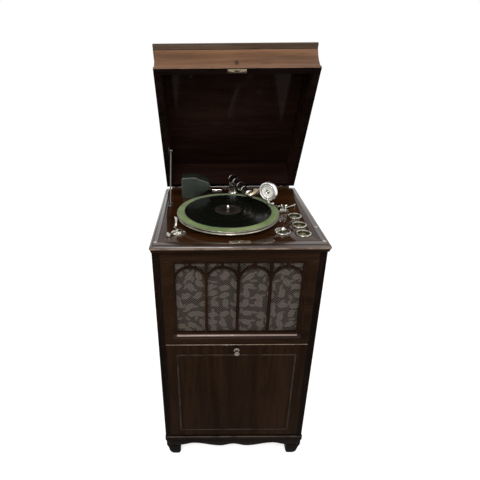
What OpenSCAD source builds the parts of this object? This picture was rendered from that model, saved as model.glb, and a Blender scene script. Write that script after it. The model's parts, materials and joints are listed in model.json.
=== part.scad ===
// Upright gramophone cabinet, lid open on its stay, with the motor, sound passage and tone arm inside.
// Millimetres. +Z is up, the front looks along -Y, the origin is on the floor at the outline's middle.

/* [Cabinet] */
// Width over the sides
cab_w = 463; // [446:1:480]
// Depth from the front face to the back face
cab_d = 448; // [435:1:480]
// Height of the deck above the floor
deck_h = 826; // [800:1:880]
// Thickness of the side panels
wall_t = 18; // [15:1:19]
// Width of a front post
post_w = 22; // [18:1:26]
// Depth of a front post
post_d = 24; // [20:1:30]
// Thickness of the back panel
back_t = 8; // [5:1:12]
// Height of the feet up to the apron
foot_h = 52; // [46:1:66]
// Width of a foot at its top
foot_w = 50; // [44:1:58]

/* [Deck] */
// Thickness of the moulded deck frame
top_t = 20; // [18:1:26]
// Reach of the deck frame in front of the face
top_front = 12; // [8:1:16]
// Reach of the deck frame beyond each side
top_side = 2.5; // [2:0.5:7]
// Thickness of the motor board
board_t = 14; // [12:1:17]
// Width of the deck frame's front strip
frame_strip = 26; // [22:1:34]

/* [Front] */
// Height of the frieze rail over the grille
frieze_h = 32; // [25:1:45]
// Height of the grille opening
grille_h = 258; // [220:1:270]
// Width of the stile between a post and the grille opening
stile_w = 25.5; // [20:0.5:32]
// Height of the rail between grille and door
mid_rail_h = 21; // [18:1:40]
// Height of the base rail under the door
base_rail_h = 17.5; // [17:0.5:30]
// Thickness of the door
door_t = 18; // [15:1:22]
// Gap round the door
door_gap = 0.6; // [0.4:0.1:1.5]
// Width of the bead on the door
bead_w = 4; // [3:0.5:6]
// Distance from the door's side to the bead
bead_in = 31; // [25:1:45]

/* [Grille] */
// Number of arches
arches = 4; // [3:1:5]
// Width of the bars between the arches
mullion_w = 8; // [6:0.5:12]
// Width of an arch's own rib
rib_w = 6; // [4:0.5:7]
// Thickness of the fretwork
fret_t = 7; // [5:0.5:10]
// Height of the sill under the fretwork
sill_h = 17; // [12:1:24]
// Thickness of the cloth behind the fretwork
cloth_t = 1.5; // [1:0.5:3]

/* [Lid] */
// Distance from the cabinet's side in to the lid's rim
lid_in = 3.25; // [1:0.25:5]
// Distance from the cabinet's face back to the lid's rim
lid_set = 3; // [2:1:12]
// Height of the lid's walls under the top board
lid_wall_h = 108; // [98:1:125]
// Thickness of the lid's top board
lid_top_t = 16; // [12:1:20]
// Thickness of the lid's front and side walls
lid_wall_t = 18; // [15:1:19]
// Thickness of the lid's back wall
lid_back_t = 14; // [10:1:20]
// Flare of the lid's cavetto moulding
lid_flare = 7.5; // [5:0.5:10]
// Angle at which the lid stands open
lid_open = 63.6; // [55:0.1:68]
// Gap under the closed lid
lid_gap = 2; // [1.8:0.1:3]

/* [Turntable] */
// Radius of the turntable
tt_r = 150; // [146:1:151]
// Height of the turntable's rim band
tt_rim_h = 10; // [8:1:14]
// Height of the felt's top face above the deck
tt_top = 22.2; // [21:0.1:26]
// Radius of the record
record_r = 128; // [124:1:129]
// Thickness of the record
record_t = 2; // [1.5:0.1:3]
// Radius of the record's label
label_r = 38; // [30:1:42]
// Place of the spindle left of the middle
spindle_left = 23; // [20:1:26]
// Place of the spindle behind the front of the deck frame
spindle_back = 190; // [186:1:196]

/* [Tone arm] */
// Distance of the arm's pivot from the back
arm_back = 58; // [54:1:62]
// Distance of the arm's pivot right of the middle
arm_right = 4; // [0:1:8]
// Height of the tube's axis above the deck
arm_h = 53; // [50:1:58]
// Length of the ringed tube
arm_l = 164; // [158:1:170]
// Turn of the tube from straight ahead
arm_turn = 14.4; // [12:0.1:17]
// Radius of the sound box
soundbox_r = 28; // [26:1:30]

/* [Hidden] */
$fn = 48;

wood = [0.16, 0.06, 0.03];
wood_light = [0.24, 0.10, 0.05];
nickel = [0.80, 0.79, 0.74];
steel = [0.55, 0.56, 0.57];
brass = [0.72, 0.58, 0.30];
iron = [0.12, 0.13, 0.13];

// Heights
base_z = foot_h + 28;
base_set_in = 3;
frieze_top = deck_h - top_t;
grille_top = frieze_top - frieze_h;
grille_bot = grille_top - grille_h;
door_top = grille_bot - mid_rail_h;
door_bot = base_z + base_rail_h;
board_bot = deck_h - board_t;

// The lid turns about pins behind the back face. The origin sits at the middle of the outline from the
// door knob to the back of the open lid.
hinge_r = 3.6;
hinge_off = 4;
hinge_up = 1;
hinge_pin_r = 1.5;
knob_reach = 20;
lid_h = lid_wall_h + lid_top_t;
lid_back_reach = (lid_h + lid_gap - hinge_up) * sin(lid_open) - hinge_off * cos(lid_open);
outline_d = knob_reach + cab_d + hinge_off + lid_back_reach;
face_y = knob_reach - outline_d / 2;
front_y = face_y - top_front;
back_y = face_y + cab_d;
pin_y = back_y + hinge_off;
pin_z = deck_h + hinge_up;
lid_front_y = face_y + lid_set;
lid_w = cab_w - 2 * lid_in;
side_x = cab_w / 2;
inner_x = side_x - wall_t;
opening_x = side_x - post_w;
grille_w = 2 * (opening_x - stile_w);
arch_pitch = (grille_w - 16) / arches;
run_gap = 0.05;
seat_gap = 0.3;

function arc(c, r, a0, a1, n = 6) =
    [for (i = [0:n]) [c[0] + r * cos(a0 + (a1 - a0) * i / n), c[1] + r * sin(a0 + (a1 - a0) * i / n)]];
function wave(a, b, n = 8) =
    [for (i = [0:n - 1]) [a[0] + (b[0] - a[0]) * i / n, a[1] + (b[1] - a[1]) * (1 - cos(180 * i / n)) / 2]];
function reversed(v) = [for (i = [len(v) - 1:-1:0]) v[i]];
function mirrored(v) = [for (p = reversed(v)) [-p[0], p[1]]];

// A block whose front and side edges follow one moulding. edge lists [height, reach] from the bottom up.
module moulded_block(w, y_front, y_back, edge) {
    top = edge[len(edge) - 1][0];
    front = [for (p = edge) [y_front - p[1], p[0]]];
    side = [for (p = edge) [w / 2 + p[1], p[0]]];
    intersection() {
        translate([-w, 0, 0])
            rotate([90, 0, 90])
                linear_extrude(2 * w)
                    polygon(concat(front, [[y_back, top], [y_back, edge[0][0]]]));
        translate([0, y_back, 0])
            rotate([90, 0, 0])
                linear_extrude(2 * (y_back - y_front))
                    polygon(concat(side, mirrored(side)));
    }
}

module on_both_sides() {
    children();
    mirror([1, 0, 0])
        children();
}

module box(x, y, z) {
    translate([x[0], y[0], z[0]])
        cube([x[1] - x[0], y[1] - y[0], z[1] - z[0]]);
}

module rod(from, to, r) {
    run = to - from;
    len = norm(run);
    translate(from)
        rotate([0, acos(run[2] / len), atan2(run[1], run[0])])
            cylinder(r = r, h = len);
}

module cone_rod(from, to, r0, r1) {
    run = to - from;
    len = norm(run);
    translate(from)
        rotate([0, acos(run[2] / len), atan2(run[1], run[0])])
            cylinder(r1 = r0, r2 = r1, h = len);
}

// ---- Carcass ----

crank_z = deck_h - 133;
crank_hole_r = 12;

module side_panel() {
    y0 = face_y + post_d;
    y1 = back_y;
    lo = foot_h;
    edge = concat(
        wave([y0 + foot_w - post_d, lo], [y0 + 80, lo + 9]),
        wave([y0 + 80, lo + 9], [(y0 + y1) / 2, lo - 4]),
        wave([(y0 + y1) / 2, lo - 4], [y1 - 90, lo + 9]),
        wave([y1 - 90, lo + 9], [y1 - foot_w, lo]));
    difference() {
        translate([inner_x, 0, 0])
            rotate([90, 0, 90])
                linear_extrude(wall_t)
                    polygon(concat([[y0, lo]], edge, [[y1 - foot_w, lo], [y1, lo], [y1, frieze_top],
                        [y0, frieze_top]]));
        box([side_x - base_set_in, side_x + 1], [y0 - 1, y1 + 1], [lo - 20, base_z - 4]);
    }
}

module left_side() {
    color(wood)
        mirror([1, 0, 0])
            side_panel();
}

// The right side is glued up from boards, so that the crank passes through a square way between them. The
// round plate outside covers the way.
module right_side() {
    half = crank_hole_r;
    joint = 0.1;
    x = [inner_x - 1, side_x + 1];
    color(wood)
        difference() {
            side_panel();
            for (y = [barrel_y - half, barrel_y + half])
                box(x, [y - joint / 2, y + joint / 2], [0, deck_h]);
            box(x, [barrel_y - half, barrel_y + half], [crank_z - half, crank_z + half]);
        }
}

module back_panel() {
    color(wood)
        box([-inner_x, inner_x], [back_y - back_t, back_y], [base_z, frieze_top]);
}

module bottom_board() {
    color(wood)
        box([-inner_x, inner_x], [face_y + post_d, back_y - back_t], [door_bot - 19, door_bot - 1]);
}

module shelf_board() {
    color(wood)
        box([-inner_x, inner_x], [face_y + post_d, back_y - back_t], [door_top + 8, door_top + 18]);
}

module front_posts() {
    r = 9;
    quirk = 14;
    depth = 1.2;
    outline = concat(
        [[opening_x, 0], [side_x - quirk - 1.5, 0], [side_x - quirk - 0.7, depth + 0.8], [side_x - quirk, depth]],
        [for (p = arc([side_x - r, r + depth], r, -90, 0, 6)) p],
        [[side_x, post_d], [opening_x, post_d]]);
    block_top = door_bot - door_gap;
    color(wood)
        on_both_sides() {
            translate([0, face_y, block_top - 0.5])
                linear_extrude(frieze_top - block_top + 0.5)
                    polygon(outline);
            box([opening_x, side_x], [face_y, face_y + post_d], [base_z - 4, block_top]);
            box([opening_x, side_x - base_set_in], [face_y, face_y + post_d], [foot_h, base_z - 3.5]);
        }
}

module frieze_rail() {
    color(wood)
        box([-opening_x, opening_x], [face_y, face_y + post_d], [grille_top, frieze_top]);
}

// The mid rail runs round the grille opening as a frame whose stiles fill the space up to the posts.
module mid_rail() {
    color(wood) {
        box([-opening_x, opening_x], [face_y, face_y + post_d], [door_top, grille_bot]);
        on_both_sides()
            box([grille_w / 2, opening_x], [face_y, face_y + post_d], [grille_bot, grille_top]);
    }
}

// The rail under the door. Its moulding, a reed under a rounded nose, runs on over the posts' blocks.
module base_rail() {
    top = door_bot - door_gap;
    reed = 1.6;
    nose = 3.2;
    nose_z = top - nose - 0.6;
    front = concat(
        [[0, base_z], [-0.4, base_z]],
        arc([-0.4, base_z + reed], reed, -90, -270, 5),
        [[-0.4, base_z + 2 * reed + 1]],
        arc([-0.4, nose_z], nose, -90, -270, 6),
        [[0, top - 0.6]]);
    color(wood) {
        box([-opening_x, opening_x], [face_y, face_y + door_t], [base_z, top]);
        translate([-side_x, face_y, 0])
            rotate([90, 0, 90])
                linear_extrude(2 * side_x)
                    polygon(front);
    }
}

// Cupid's-bow apron: rises from each foot, dips beside the middle and rises again at the middle.
module front_apron() {
    x_end = side_x - foot_w;
    half = concat(
        wave([0, foot_h + 4], [45, foot_h - 5]),
        wave([45, foot_h - 5], [135, foot_h + 9]),
        wave([135, foot_h + 9], [x_end, foot_h]),
        [[x_end, foot_h], [opening_x, foot_h], [opening_x, base_z]]);
    color(wood)
        translate([0, face_y + door_t, 0])
            rotate([90, 0, 0])
                linear_extrude(door_t - 1)
                    polygon(concat(mirrored(half), half));
}

// A foot's outlines from its outer corner, seen from the front and from the side: it tapers to a rounded toe.
function foot_front() = [[base_set_in, foot_h], [6, foot_h * 0.88], [8, foot_h * 0.62], [9.2, foot_h * 0.46],
    [11.5, foot_h * 0.29], [15, foot_h * 0.15], [19.5, 2.5], [24, 0], [foot_w - 6, 0], [foot_w - 3, 2.5],
    [foot_w - 1, 8], [foot_w, 20], [foot_w, foot_h]];
function foot_depth() = [[0, foot_h], [0, foot_h * 0.5], [1, foot_h * 0.3], [2.5, 8], [5, 3], [9, 0],
    [foot_w - 9, 0], [foot_w - 4, 4], [foot_w - 1, 14], [foot_w, 28], [foot_w, foot_h]];

module foot() {
    intersection() {
        rotate([90, 0, 0])
            translate([0, 0, -2 * foot_w])
                linear_extrude(3 * foot_w)
                    polygon(foot_front());
        rotate([90, 0, 90])
            translate([0, 0, -foot_w])
                linear_extrude(3 * foot_w)
                    polygon(foot_depth());
    }
}

module feet() {
    color(wood)
        on_both_sides() {
            translate([-side_x, face_y, 0])
                foot();
            translate([-side_x, back_y, 0])
                mirror([0, 1, 0])
                    foot();
        }
}

module deck_frame() {
    edge = concat(
        [[frieze_top, -3.5], [frieze_top + 5, -3.5], [frieze_top + 6.5, -2.2]],
        [for (p = arc([0, 0], 6, -50, 90, 7)) [frieze_top + 13 + p[1], p[0] - 6]],
        [[deck_h - 1, -7.5], [deck_h, -8.5]]);
    in_x = inner_x;
    ledge = 5.5;
    color(wood)
        difference() {
            moulded_block(cab_w + 2 * top_side, front_y, back_y, edge);
            box([-in_x, in_x], [front_y + frame_strip, back_y - 18], [board_bot, deck_h + 1]);
            box([-in_x + ledge, in_x - ledge], [front_y + frame_strip + 14, back_y - 18 - ledge],
                [frieze_top - 1, board_bot + 1]);
        }
}

// ---- Motor board and what it carries ----

tt_x = -spindle_left;
tt_y = front_y + spindle_back;
arm_x = arm_right;
arm_y = back_y - arm_back;
cup_r = 17.5;
cup_flange_r = 21.5;
cup_x = side_x - 55.5;
cups_y = [front_y + 195, front_y + 130, front_y + 73];
brake_x = tt_x - tt_r + 12;
brake_y = front_y + 84;
dial_x = side_x - 109.5;
dial_y = front_y + 86;
stay_x = 28.5 - side_x;
slot_y = [pin_y - 176, pin_y - 156];
arm_hole_r = 15;
spindle_hole_r = 9;

module motor_board() {
    gap = 0.4;
    color(wood)
        difference() {
            box([-inner_x + gap, inner_x - gap], [front_y + frame_strip + gap, back_y - 18 - gap],
                [board_bot, deck_h]);
            translate([tt_x, tt_y, board_bot - 1])
                cylinder(r = spindle_hole_r, h = board_t + 2);
            translate([arm_x, arm_y, board_bot - 1])
                cylinder(r = arm_hole_r, h = board_t + 2);
            for (y = cups_y)
                translate([cup_x, y, board_bot - 1])
                    cylinder(r = cup_r + 0.4, h = board_t + 2);
            translate([brake_x, brake_y, board_bot - 1])
                cylinder(r = 3.5, h = board_t + 2);
            translate([dial_x, dial_y, board_bot - 1])
                cylinder(r = 4.5, h = board_t + 2);
            box([stay_x - 4.5, stay_x + 4.5], slot_y, [board_bot - 1, deck_h + 1]);
        }
}

module needle_cups() {
    wall = 1.2;
    deep = board_t - 1;
    profile = concat(
        [[0, -deep], [cup_r - 7, -deep]],
        arc([cup_r - 7, 7 - deep], 7, -90, 0, 5),
        [[cup_r, 0], [cup_flange_r, 0]],
        arc([cup_flange_r - 1.4, 0.6], 1.4, 0, 90, 4),
        [[cup_r - wall + 1.2, 2], [cup_r - wall, 1]],
        [for (p = reversed(arc([cup_r - 7, 7 - deep], 7 - wall, -90, 0, 5))) p],
        [[0, wall - deep]]);
    color(nickel)
        for (y = cups_y)
            translate([cup_x, y, deck_h])
                rotate_extrude()
                    polygon(profile);
}

module plate_stadium(w, l, h) {
    linear_extrude(h)
        union() {
            translate([0, (l - w) / 2])
                circle(r = w / 2);
            translate([0, -(l - w) / 2])
                circle(r = w / 2);
            square([w, l - w], center = true);
        }
}

module brake_plate() {
    color(nickel)
        translate([brake_x, brake_y, deck_h])
            rotate([0, 0, -72])
                difference() {
                    plate_stadium(34, 44, 1.6);
                    translate([0, 14, -1])
                        cylinder(r = 2, h = 4);
                    translate([0, -14, -1])
                        cylinder(r = 2, h = 4);
                    translate([0, 0, -1])
                        cylinder(r = 3.5, h = 4);
                }
}

brake_pad_r = 5;
brake_pad_at = [tt_x, tt_y, 0] + (tt_r + brake_pad_r + seat_gap) * [-0.966, -0.259, 0];

module brake_lever() {
    pivot = [brake_x, brake_y, 0];
    handle = pivot + [-27, -24, 0];
    elbow = pivot + [-12, 26, 0];
    low = deck_h + 1.9;
    color(nickel) {
        translate([brake_x, brake_y, low])
            cylinder(r = 8, h = 5);
        translate([brake_x, brake_y, board_bot - 3])
            cylinder(r = 3.4, h = board_t + 5);
        for (run = [[pivot, handle], [pivot, elbow], [elbow, brake_pad_at]])
            flat_bar(run[0], run[1], 6, low, low + 3.5);
        translate([handle[0], handle[1], low - 0.5])
            cylinder(r1 = 6.5, r2 = 4.5, h = 9);
        translate([elbow[0], elbow[1], low - 0.3])
            cylinder(r = 4.2, h = 4.4);
        translate([brake_pad_at[0], brake_pad_at[1], low])
            cylinder(r = brake_pad_r, h = 18);
    }
}

module flat_bar(from, to, w, z0, z1) {
    run = to - from;
    translate([from[0], from[1], z0])
        rotate([0, 0, atan2(run[1], run[0])])
            translate([0, -w / 2, 0])
                cube([norm([run[0], run[1]]), w, z1 - z0]);
}

module regulator_plate() {
    profile = concat([[4.5, 0], [22, 0], [22, 1.2]], arc([20.4, 1.2], 1.6, 0, 90, 3), [[18.6, 1.8], [4.5, 1.8]]);
    color(nickel)
        translate([dial_x, dial_y, deck_h])
            rotate_extrude()
                polygon(profile);
}

module speed_pointer() {
    low = deck_h + 3.1;
    centre = [dial_x, dial_y, 0];
    color(nickel) {
        translate([dial_x, dial_y, board_bot - 6])
            cylinder(r = 4.4, h = low - board_bot + 6);
        translate([dial_x, dial_y, low])
            cylinder(r = 7, h = 5);
        translate([dial_x, dial_y, low + 5])
            cylinder(r1 = 6, r2 = 4, h = 5);
        flat_bar(centre, centre + [-22, -9, 0], 4, low, low + 2.4);
        flat_bar(centre, centre + [10, 5, 0], 5, low, low + 2.4);
    }
}

module lock_striker() {
    color(nickel)
        translate([0, lid_front_y + lid_wall_t / 2, deck_h])
            difference() {
                translate([-28, -6.5, 0])
                    cube([56, 13, 0.8]);
                translate([-11, -3.5, -1])
                    cube([22, 7, 3]);
            }
}

module deck_buffers() {
    x = side_x - 11.5;
    at = [[-x, lid_front_y + 10], [x, lid_front_y + 10], [x, front_y + 114]];
    color("dimgray")
        for (p = at)
            translate([p[0], p[1], deck_h])
                cylinder(r1 = 5, r2 = 4.4, h = lid_gap - seat_gap);
}

module stay_plate() {
    color(nickel)
        difference() {
            box([stay_x - 8, stay_x + 8], [slot_y[0] - 7, slot_y[1] + 7], [deck_h, deck_h + 1.2]);
            box([stay_x - 4.5, stay_x + 4.5], slot_y, [deck_h - 1, deck_h + 2]);
        }
}

module arm_base() {
    profile = [[10, 0], [19, 0], [19, 2], [17.5, 3.5], [15, 5], [13.6, 9], [13, 16], [13, 26], [14, 28], [10, 28]];
    color(nickel)
        translate([arm_x, arm_y, deck_h])
            rotate_extrude()
                polygon(profile);
}

// Automatic stop: a low block on a foot plate, with the trip knob and its rod beside it.
stop_x = tt_x + tt_r + 19;
stop_y = front_y + 250;

module auto_stop() {
    color(nickel)
        translate([stop_x, stop_y, deck_h]) {
            difference() {
                translate([-14, -24, 0])
                    cube([34, 40, 2]);
                translate([-8, -17, -1])
                    cylinder(r = 1.8, h = 4);
                translate([14, 10, -1])
                    cylinder(r = 1.8, h = 4);
            }
            translate([-6, -14, 1.5])
                cube([12, 24, 6.5]);
            translate([0, 0, 7])
                cylinder(r = 2.5, h = 10.5);
            translate([13, -3, 1.5])
                cylinder(r = 2.2, h = 12);
            translate([13, -3, 13])
                sphere(r = 4.6);
            rod([13, -3, 6], [44, 16, 8], 1.6);
            translate([44, 16, 0])
                cylinder(r = 2.6, h = 11);
        }
}

module stop_lever() {
    low = deck_h + 8.3;
    centre = [stop_x, stop_y, 0];
    color(nickel)
        difference() {
            union() {
                translate([stop_x, stop_y, low])
                    cylinder(r = 6, h = 7);
                translate([stop_x, stop_y, low + 2])
                    rotate([0, 0, 184])
                        linear_extrude(3.5)
                            polygon([[0, -4], [21, -1.2], [22, 0], [21, 1.2], [0, 4]]);
                translate([stop_x, stop_y, low])
                    rotate([0, 0, -100])
                        linear_extrude(4)
                            polygon([[0, -3], [14, -6], [20, -3], [20, 3], [14, 6], [0, 3]]);
            }
            translate([stop_x, stop_y, low - 1])
                cylinder(r = 2.5 + run_gap, h = 12);
        }
}

// A dark closed box at the deck's rear left with a sloping shoulder, and a small one beside it.
small_box_w = 36;
small_box_gap = 36;
big_box_gap = 172;
big_box_d = 48;

module accessory_boxes() {
    outline = concat(
        [[0, 0], [60, 0], [65, 14], [84, 24], [95, 44]],
        arc([84, 50], 8, -20, 60, 3),
        [[64, 66]],
        arc([44, 62], 12, 40, 95, 3),
        arc([6, 66], 6, 90, 180, 4));
    small_x = arm_x - small_box_gap;
    color(iron)
        translate([arm_x - big_box_gap, back_y - 62, deck_h])
            rotate([90, 0, 0])
                linear_extrude(big_box_d)
                    polygon(outline);
    color(iron)
        box([small_x - small_box_w, small_x], [back_y - 56, back_y - 34], [deck_h, deck_h + 14]);
}

// ---- Grille ----

fret_top = grille_top - 5;
fret_bot = grille_bot + sill_h;
fret_x = arches * arch_pitch / 2;
fret_y = face_y + 5;
arch_r = (arch_pitch - mullion_w) / 2;
arch_c = fret_top - 19 - arch_r;
stub_w = 8;

module grille_frame() {
    x = grille_w / 2;
    nose = [[fret_y - 6.5, grille_bot + 3], [fret_y - 7.5, grille_bot + 5.5]];
    color(wood_light) {
        // sill with a sloping face that catches the light
        translate([-x, 0, 0])
            rotate([90, 0, 90])
                linear_extrude(2 * x)
                    polygon(concat([[fret_y + fret_t, grille_bot], [fret_y - 5, grille_bot]], nose,
                        [[fret_y - 6, grille_bot + 8], [fret_y, fret_bot], [fret_y + fret_t, fret_bot]]));
        on_both_sides()
            translate([0, 0, fret_bot - 1])
                linear_extrude(grille_top - fret_bot + 1)
                    polygon(concat([[fret_x, fret_y + fret_t], [fret_x, fret_y]],
                        arc([fret_x + 3.5, fret_y], 3, 180, 270, 3), [[x, fret_y - 3], [x, fret_y + fret_t]]));
        translate([-fret_x - 0.5, 0, 0])
            rotate([90, 0, 90])
                linear_extrude(2 * fret_x + 1)
                    polygon([[fret_y + fret_t, fret_top], [fret_y, fret_top], [fret_y - 3, grille_top - 1.5],
                        [fret_y - 3, grille_top], [fret_y + fret_t, grille_top]]);
    }
}

module fret_outline() {
    head = fret_top - 3;
    difference() {
        translate([-fret_x, fret_bot])
            square([2 * fret_x, fret_top - fret_bot]);
        for (i = [0:arches - 1])
            translate([(i + 0.5) * arch_pitch - fret_x, 0]) {
                translate([-arch_r, fret_bot + 4])
                    square([2 * arch_r, arch_c - fret_bot - 4]);
                translate([0, arch_c])
                    circle(r = arch_r);
                difference() {
                    translate([-arch_r, arch_c])
                        square([2 * arch_r, head - arch_c]);
                    translate([0, arch_c])
                        circle(r = arch_r + rib_w);
                    translate([-stub_w / 2, arch_c])
                        square([stub_w, 2 * arch_r]);
                }
            }
    }
}

module grille_fret() {
    color(wood)
        translate([0, fret_y + fret_t, 0])
            rotate([90, 0, 0])
                linear_extrude(fret_t)
                    fret_outline();
}

cloth_y = fret_y + fret_t + seat_gap;

module grille_cloth() {
    color([0.35, 0.28, 0.25])
        box([-fret_x, fret_x], [cloth_y, cloth_y + cloth_t], [fret_bot - 2, fret_top + 2]);
}

// ---- Sound passage ----

horn_t = 6;
horn_y = cloth_y + cloth_t + seat_gap;
horn_x = fret_x + horn_t - 1;
horn_knee = [face_y + 74, fret_x - 26, [door_top + 24, deck_h - 158]];
horn_end = [arm_y - 30, 34, [door_top + 62, deck_h - 196]];

module horn_slice(y, x, z) {
    box([-x, x], [y, y + 0.5], z);
}

module horn() {
    mouth = [grille_bot + 8, grille_top - 1];
    k = horn_knee;
    e = horn_end;
    t = horn_t;
    color(wood_light)
        difference() {
            union() {
                hull() {
                    horn_slice(horn_y, horn_x, mouth);
                    horn_slice(k[0], k[1], k[2]);
                }
                hull() {
                    horn_slice(k[0], k[1], k[2]);
                    horn_slice(e[0], e[1], e[2]);
                }
            }
            hull() {
                horn_slice(horn_y - 1, horn_x - t, [mouth[0] + t, mouth[1] - t]);
                horn_slice(k[0], k[1] - t, [k[2][0] + t, k[2][1] - t]);
            }
            hull() {
                horn_slice(k[0], k[1] - t, [k[2][0] + t, k[2][1] - t]);
                horn_slice(e[0] + 1, e[1] - t, [e[2][0] + t, e[2][1] - t]);
            }
        }
}

elbow_r = 19;
elbow_z = (horn_end[2][0] + horn_end[2][1]) / 2;
elbow_y = arm_y - 29;

// Cast elbow: a flange at the horn's end, a bend and a pipe up through the board to the arm's base.
module horn_elbow() {
    color(iron)
        difference() {
            union() {
                box([-horn_end[1], horn_end[1]], [elbow_y, elbow_y + 5], horn_end[2]);
                translate([arm_x, elbow_y, elbow_z])
                    rotate([-90, 0, 0])
                        cylinder(r = elbow_r, h = arm_y - elbow_y);
                translate([arm_x, arm_y, elbow_z])
                    sphere(r = elbow_r);
                translate([arm_x, arm_y, elbow_z])
                    cylinder(r = elbow_r, h = board_bot - 12 - elbow_z);
                translate([arm_x, arm_y, board_bot - 12])
                    cylinder(r = elbow_r + 6, h = 11.7);
            }
            translate([arm_x, elbow_y - 1, elbow_z])
                rotate([-90, 0, 0])
                    cylinder(r = elbow_r - 5, h = arm_y - elbow_y + 1);
            translate([arm_x, arm_y, elbow_z])
                sphere(r = elbow_r - 5);
            translate([arm_x, arm_y, elbow_z])
                cylinder(r = elbow_r - 5, h = board_bot - elbow_z + 1);
        }
}

module record_dividers() {
    floor_z = door_bot - 1;
    top_z = door_top + 8;
    bay = 2 * inner_x / 5;
    xs = [-1.5 * bay, -0.5 * bay, 0.5 * bay, 1.5 * bay];
    color(wood)
        for (x = xs)
            translate([x - 3, 0, 0])
                rotate([90, 0, 90])
                    linear_extrude(6)
                        difference() {
                            translate([face_y + post_d + 10, floor_z])
                                square([cab_d - post_d - back_t - 10, top_z - floor_z]);
                            translate([face_y + post_d + 10, (floor_z + top_z) / 2])
                                circle(r = 70);
                        }
}

// ---- Door ----

door_axis = [0, face_y + door_t / 2, door_bot + door_t / 2 + 0.4];
door_x = opening_x - door_gap;
door_pin_r = 3;
knob_z = door_top - 21;
knob_shaft_r = 3;

module door() {
    outline = concat(
        arc([door_axis[1], door_axis[2]], door_t / 2, 180, 360, 12),
        [[face_y + door_t, door_top - door_gap], [face_y + 1.5, door_top - door_gap],
            [face_y, door_top - door_gap - 1.5]]);
    color(wood)
        difference() {
            translate([-door_x, 0, 0])
                rotate([90, 0, 90])
                    linear_extrude(2 * door_x)
                        polygon(outline);
            on_both_sides()
                translate([door_x - 14, door_axis[1], door_axis[2]])
                    rotate([0, 90, 0])
                        cylinder(r = door_pin_r + run_gap, h = 20);
            translate([0, face_y - 1, knob_z])
                rotate([-90, 0, 0])
                    cylinder(r = knob_shaft_r + run_gap, h = door_t + 2);
        }
}

bead_bot = door_bot + 31.5;
bead_top = door_top - 38;
bead_x = opening_x - bead_in;

module door_bead() {
    proud = 1.4;
    color(wood_light)
        translate([0, face_y, 0])
            rotate([90, 0, 0])
                linear_extrude(proud)
                    difference() {
                        translate([-bead_x, bead_bot])
                            square([2 * bead_x, bead_top - bead_bot]);
                        translate([-bead_x + bead_w, bead_bot + bead_w])
                            square([2 * (bead_x - bead_w), bead_top - bead_bot - 2 * bead_w]);
                    }
}

module door_knob() {
    profile = [[0, 0], [8.5, 0], [8.5, 1.5], [6.5, 2.6], [3.8, 4.5], [3.6, 8], [5, 10.5], [7.6, 12.5], [8.4, 15],
        [7.6, 17.5], [5, 19.3], [0, knob_reach - seat_gap]];
    color(brass)
        translate([0, face_y, knob_z]) {
            translate([0, -seat_gap, 0])
                rotate([90, 0, 0])
                    rotate_extrude()
                        polygon(profile);
            translate([0, -1, 0])
                rotate([-90, 0, 0])
                    cylinder(r = knob_shaft_r, h = post_d + 4.5);
            translate([0, post_d + 0.5, 0])
                rotate([-90, 0, 0])
                    linear_extrude(3)
                        polygon([[-4, -5], [22, -4], [27, -2], [27, 2], [22, 4], [-4, 5]]);
        }
}

// ---- Lid, drawn closed and turned back to its open place ----

module opened() {
    translate([0, pin_y, pin_z])
        rotate([-lid_open, 0, 0])
            translate([0, -pin_y, -pin_z])
                children();
}

lid_z = deck_h + lid_gap;
lock_y = lid_front_y + lid_wall_t / 2;

module lid_walls() {
    edge = concat(
        [[lid_z, 0], [lid_z + 9, 0], [lid_z + 10, -1.5]],
        [for (i = [1:8]) [lid_z + 10 + (lid_wall_h - 10) * i / 8, (lid_flare + 1.5) * pow(i / 8, 2) - 1.5]]);
    color(wood)
        opened()
            difference() {
                moulded_block(lid_w, lid_front_y, back_y, edge);
                box([-lid_w / 2 + lid_wall_t, lid_w / 2 - lid_wall_t],
                    [lid_front_y + lid_wall_t, back_y - lid_back_t], [lid_z - 1, lid_z + lid_wall_h + 1]);
                box([-10.5, 10.5], [lock_y - 3, lock_y + 3], [lid_z - 1, lid_z + 34]);
            }
}

module lid_top() {
    z = lid_z + lid_wall_h;
    reach = lid_flare + 2;
    r = 5;
    edge = concat(
        [[z, reach - r]],
        [for (p = arc([0, 0], r, -70, 0, 4)) [z + r + p[1], reach - r + p[0]]],
        [for (p = arc([0, 0], r, 0, 90, 5)) [z + lid_top_t - r + p[1], reach - r + p[0]]]);
    color(wood)
        opened()
            moulded_block(lid_w, lid_front_y, back_y, edge);
}

hinge_w = 60;
hinge_x = [50.5 - side_x, side_x - 50.5];
knuckles = 5;

// One side of a butt hinge: a leaf with knuckles. first is 0 or 1, up is 1 over the pin and -1 under it.
module hinge_leaf(first, up) {
    w = hinge_w / knuckles;
    gap = 0.4;
    for (x = hinge_x)
        translate([x - hinge_w / 2, back_y, pin_z])
            difference() {
                union() {
                    translate([0, 0.05, up > 0 ? hinge_r + gap : -32])
                        cube([hinge_w, 1.5, 32 - hinge_r - gap]);
                    for (i = [first:2:knuckles - 1]) {
                        translate([i * w + gap / 2, hinge_off, 0])
                            rotate([0, 90, 0])
                                cylinder(r = hinge_r, h = w - gap);
                        translate([i * w + gap / 2, 0.05, up > 0 ? 1.2 : -hinge_r - gap])
                            cube([w - gap, 1.5, hinge_r + gap - 1.2]);
                        translate([i * w + gap / 2, 0.05, up > 0 ? 1.2 : -3])
                            cube([w - gap, hinge_off, 1.8]);
                    }
                }
                translate([-1, hinge_off, 0])
                    rotate([0, 90, 0])
                        cylinder(r = hinge_pin_r + run_gap, h = hinge_w + 2);
            }
}

module deck_hinge_leaves() {
    color(brass)
        hinge_leaf(0, -1);
}

module lid_hinge_leaves() {
    color(brass)
        opened()
            hinge_leaf(1, 1);
}

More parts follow.
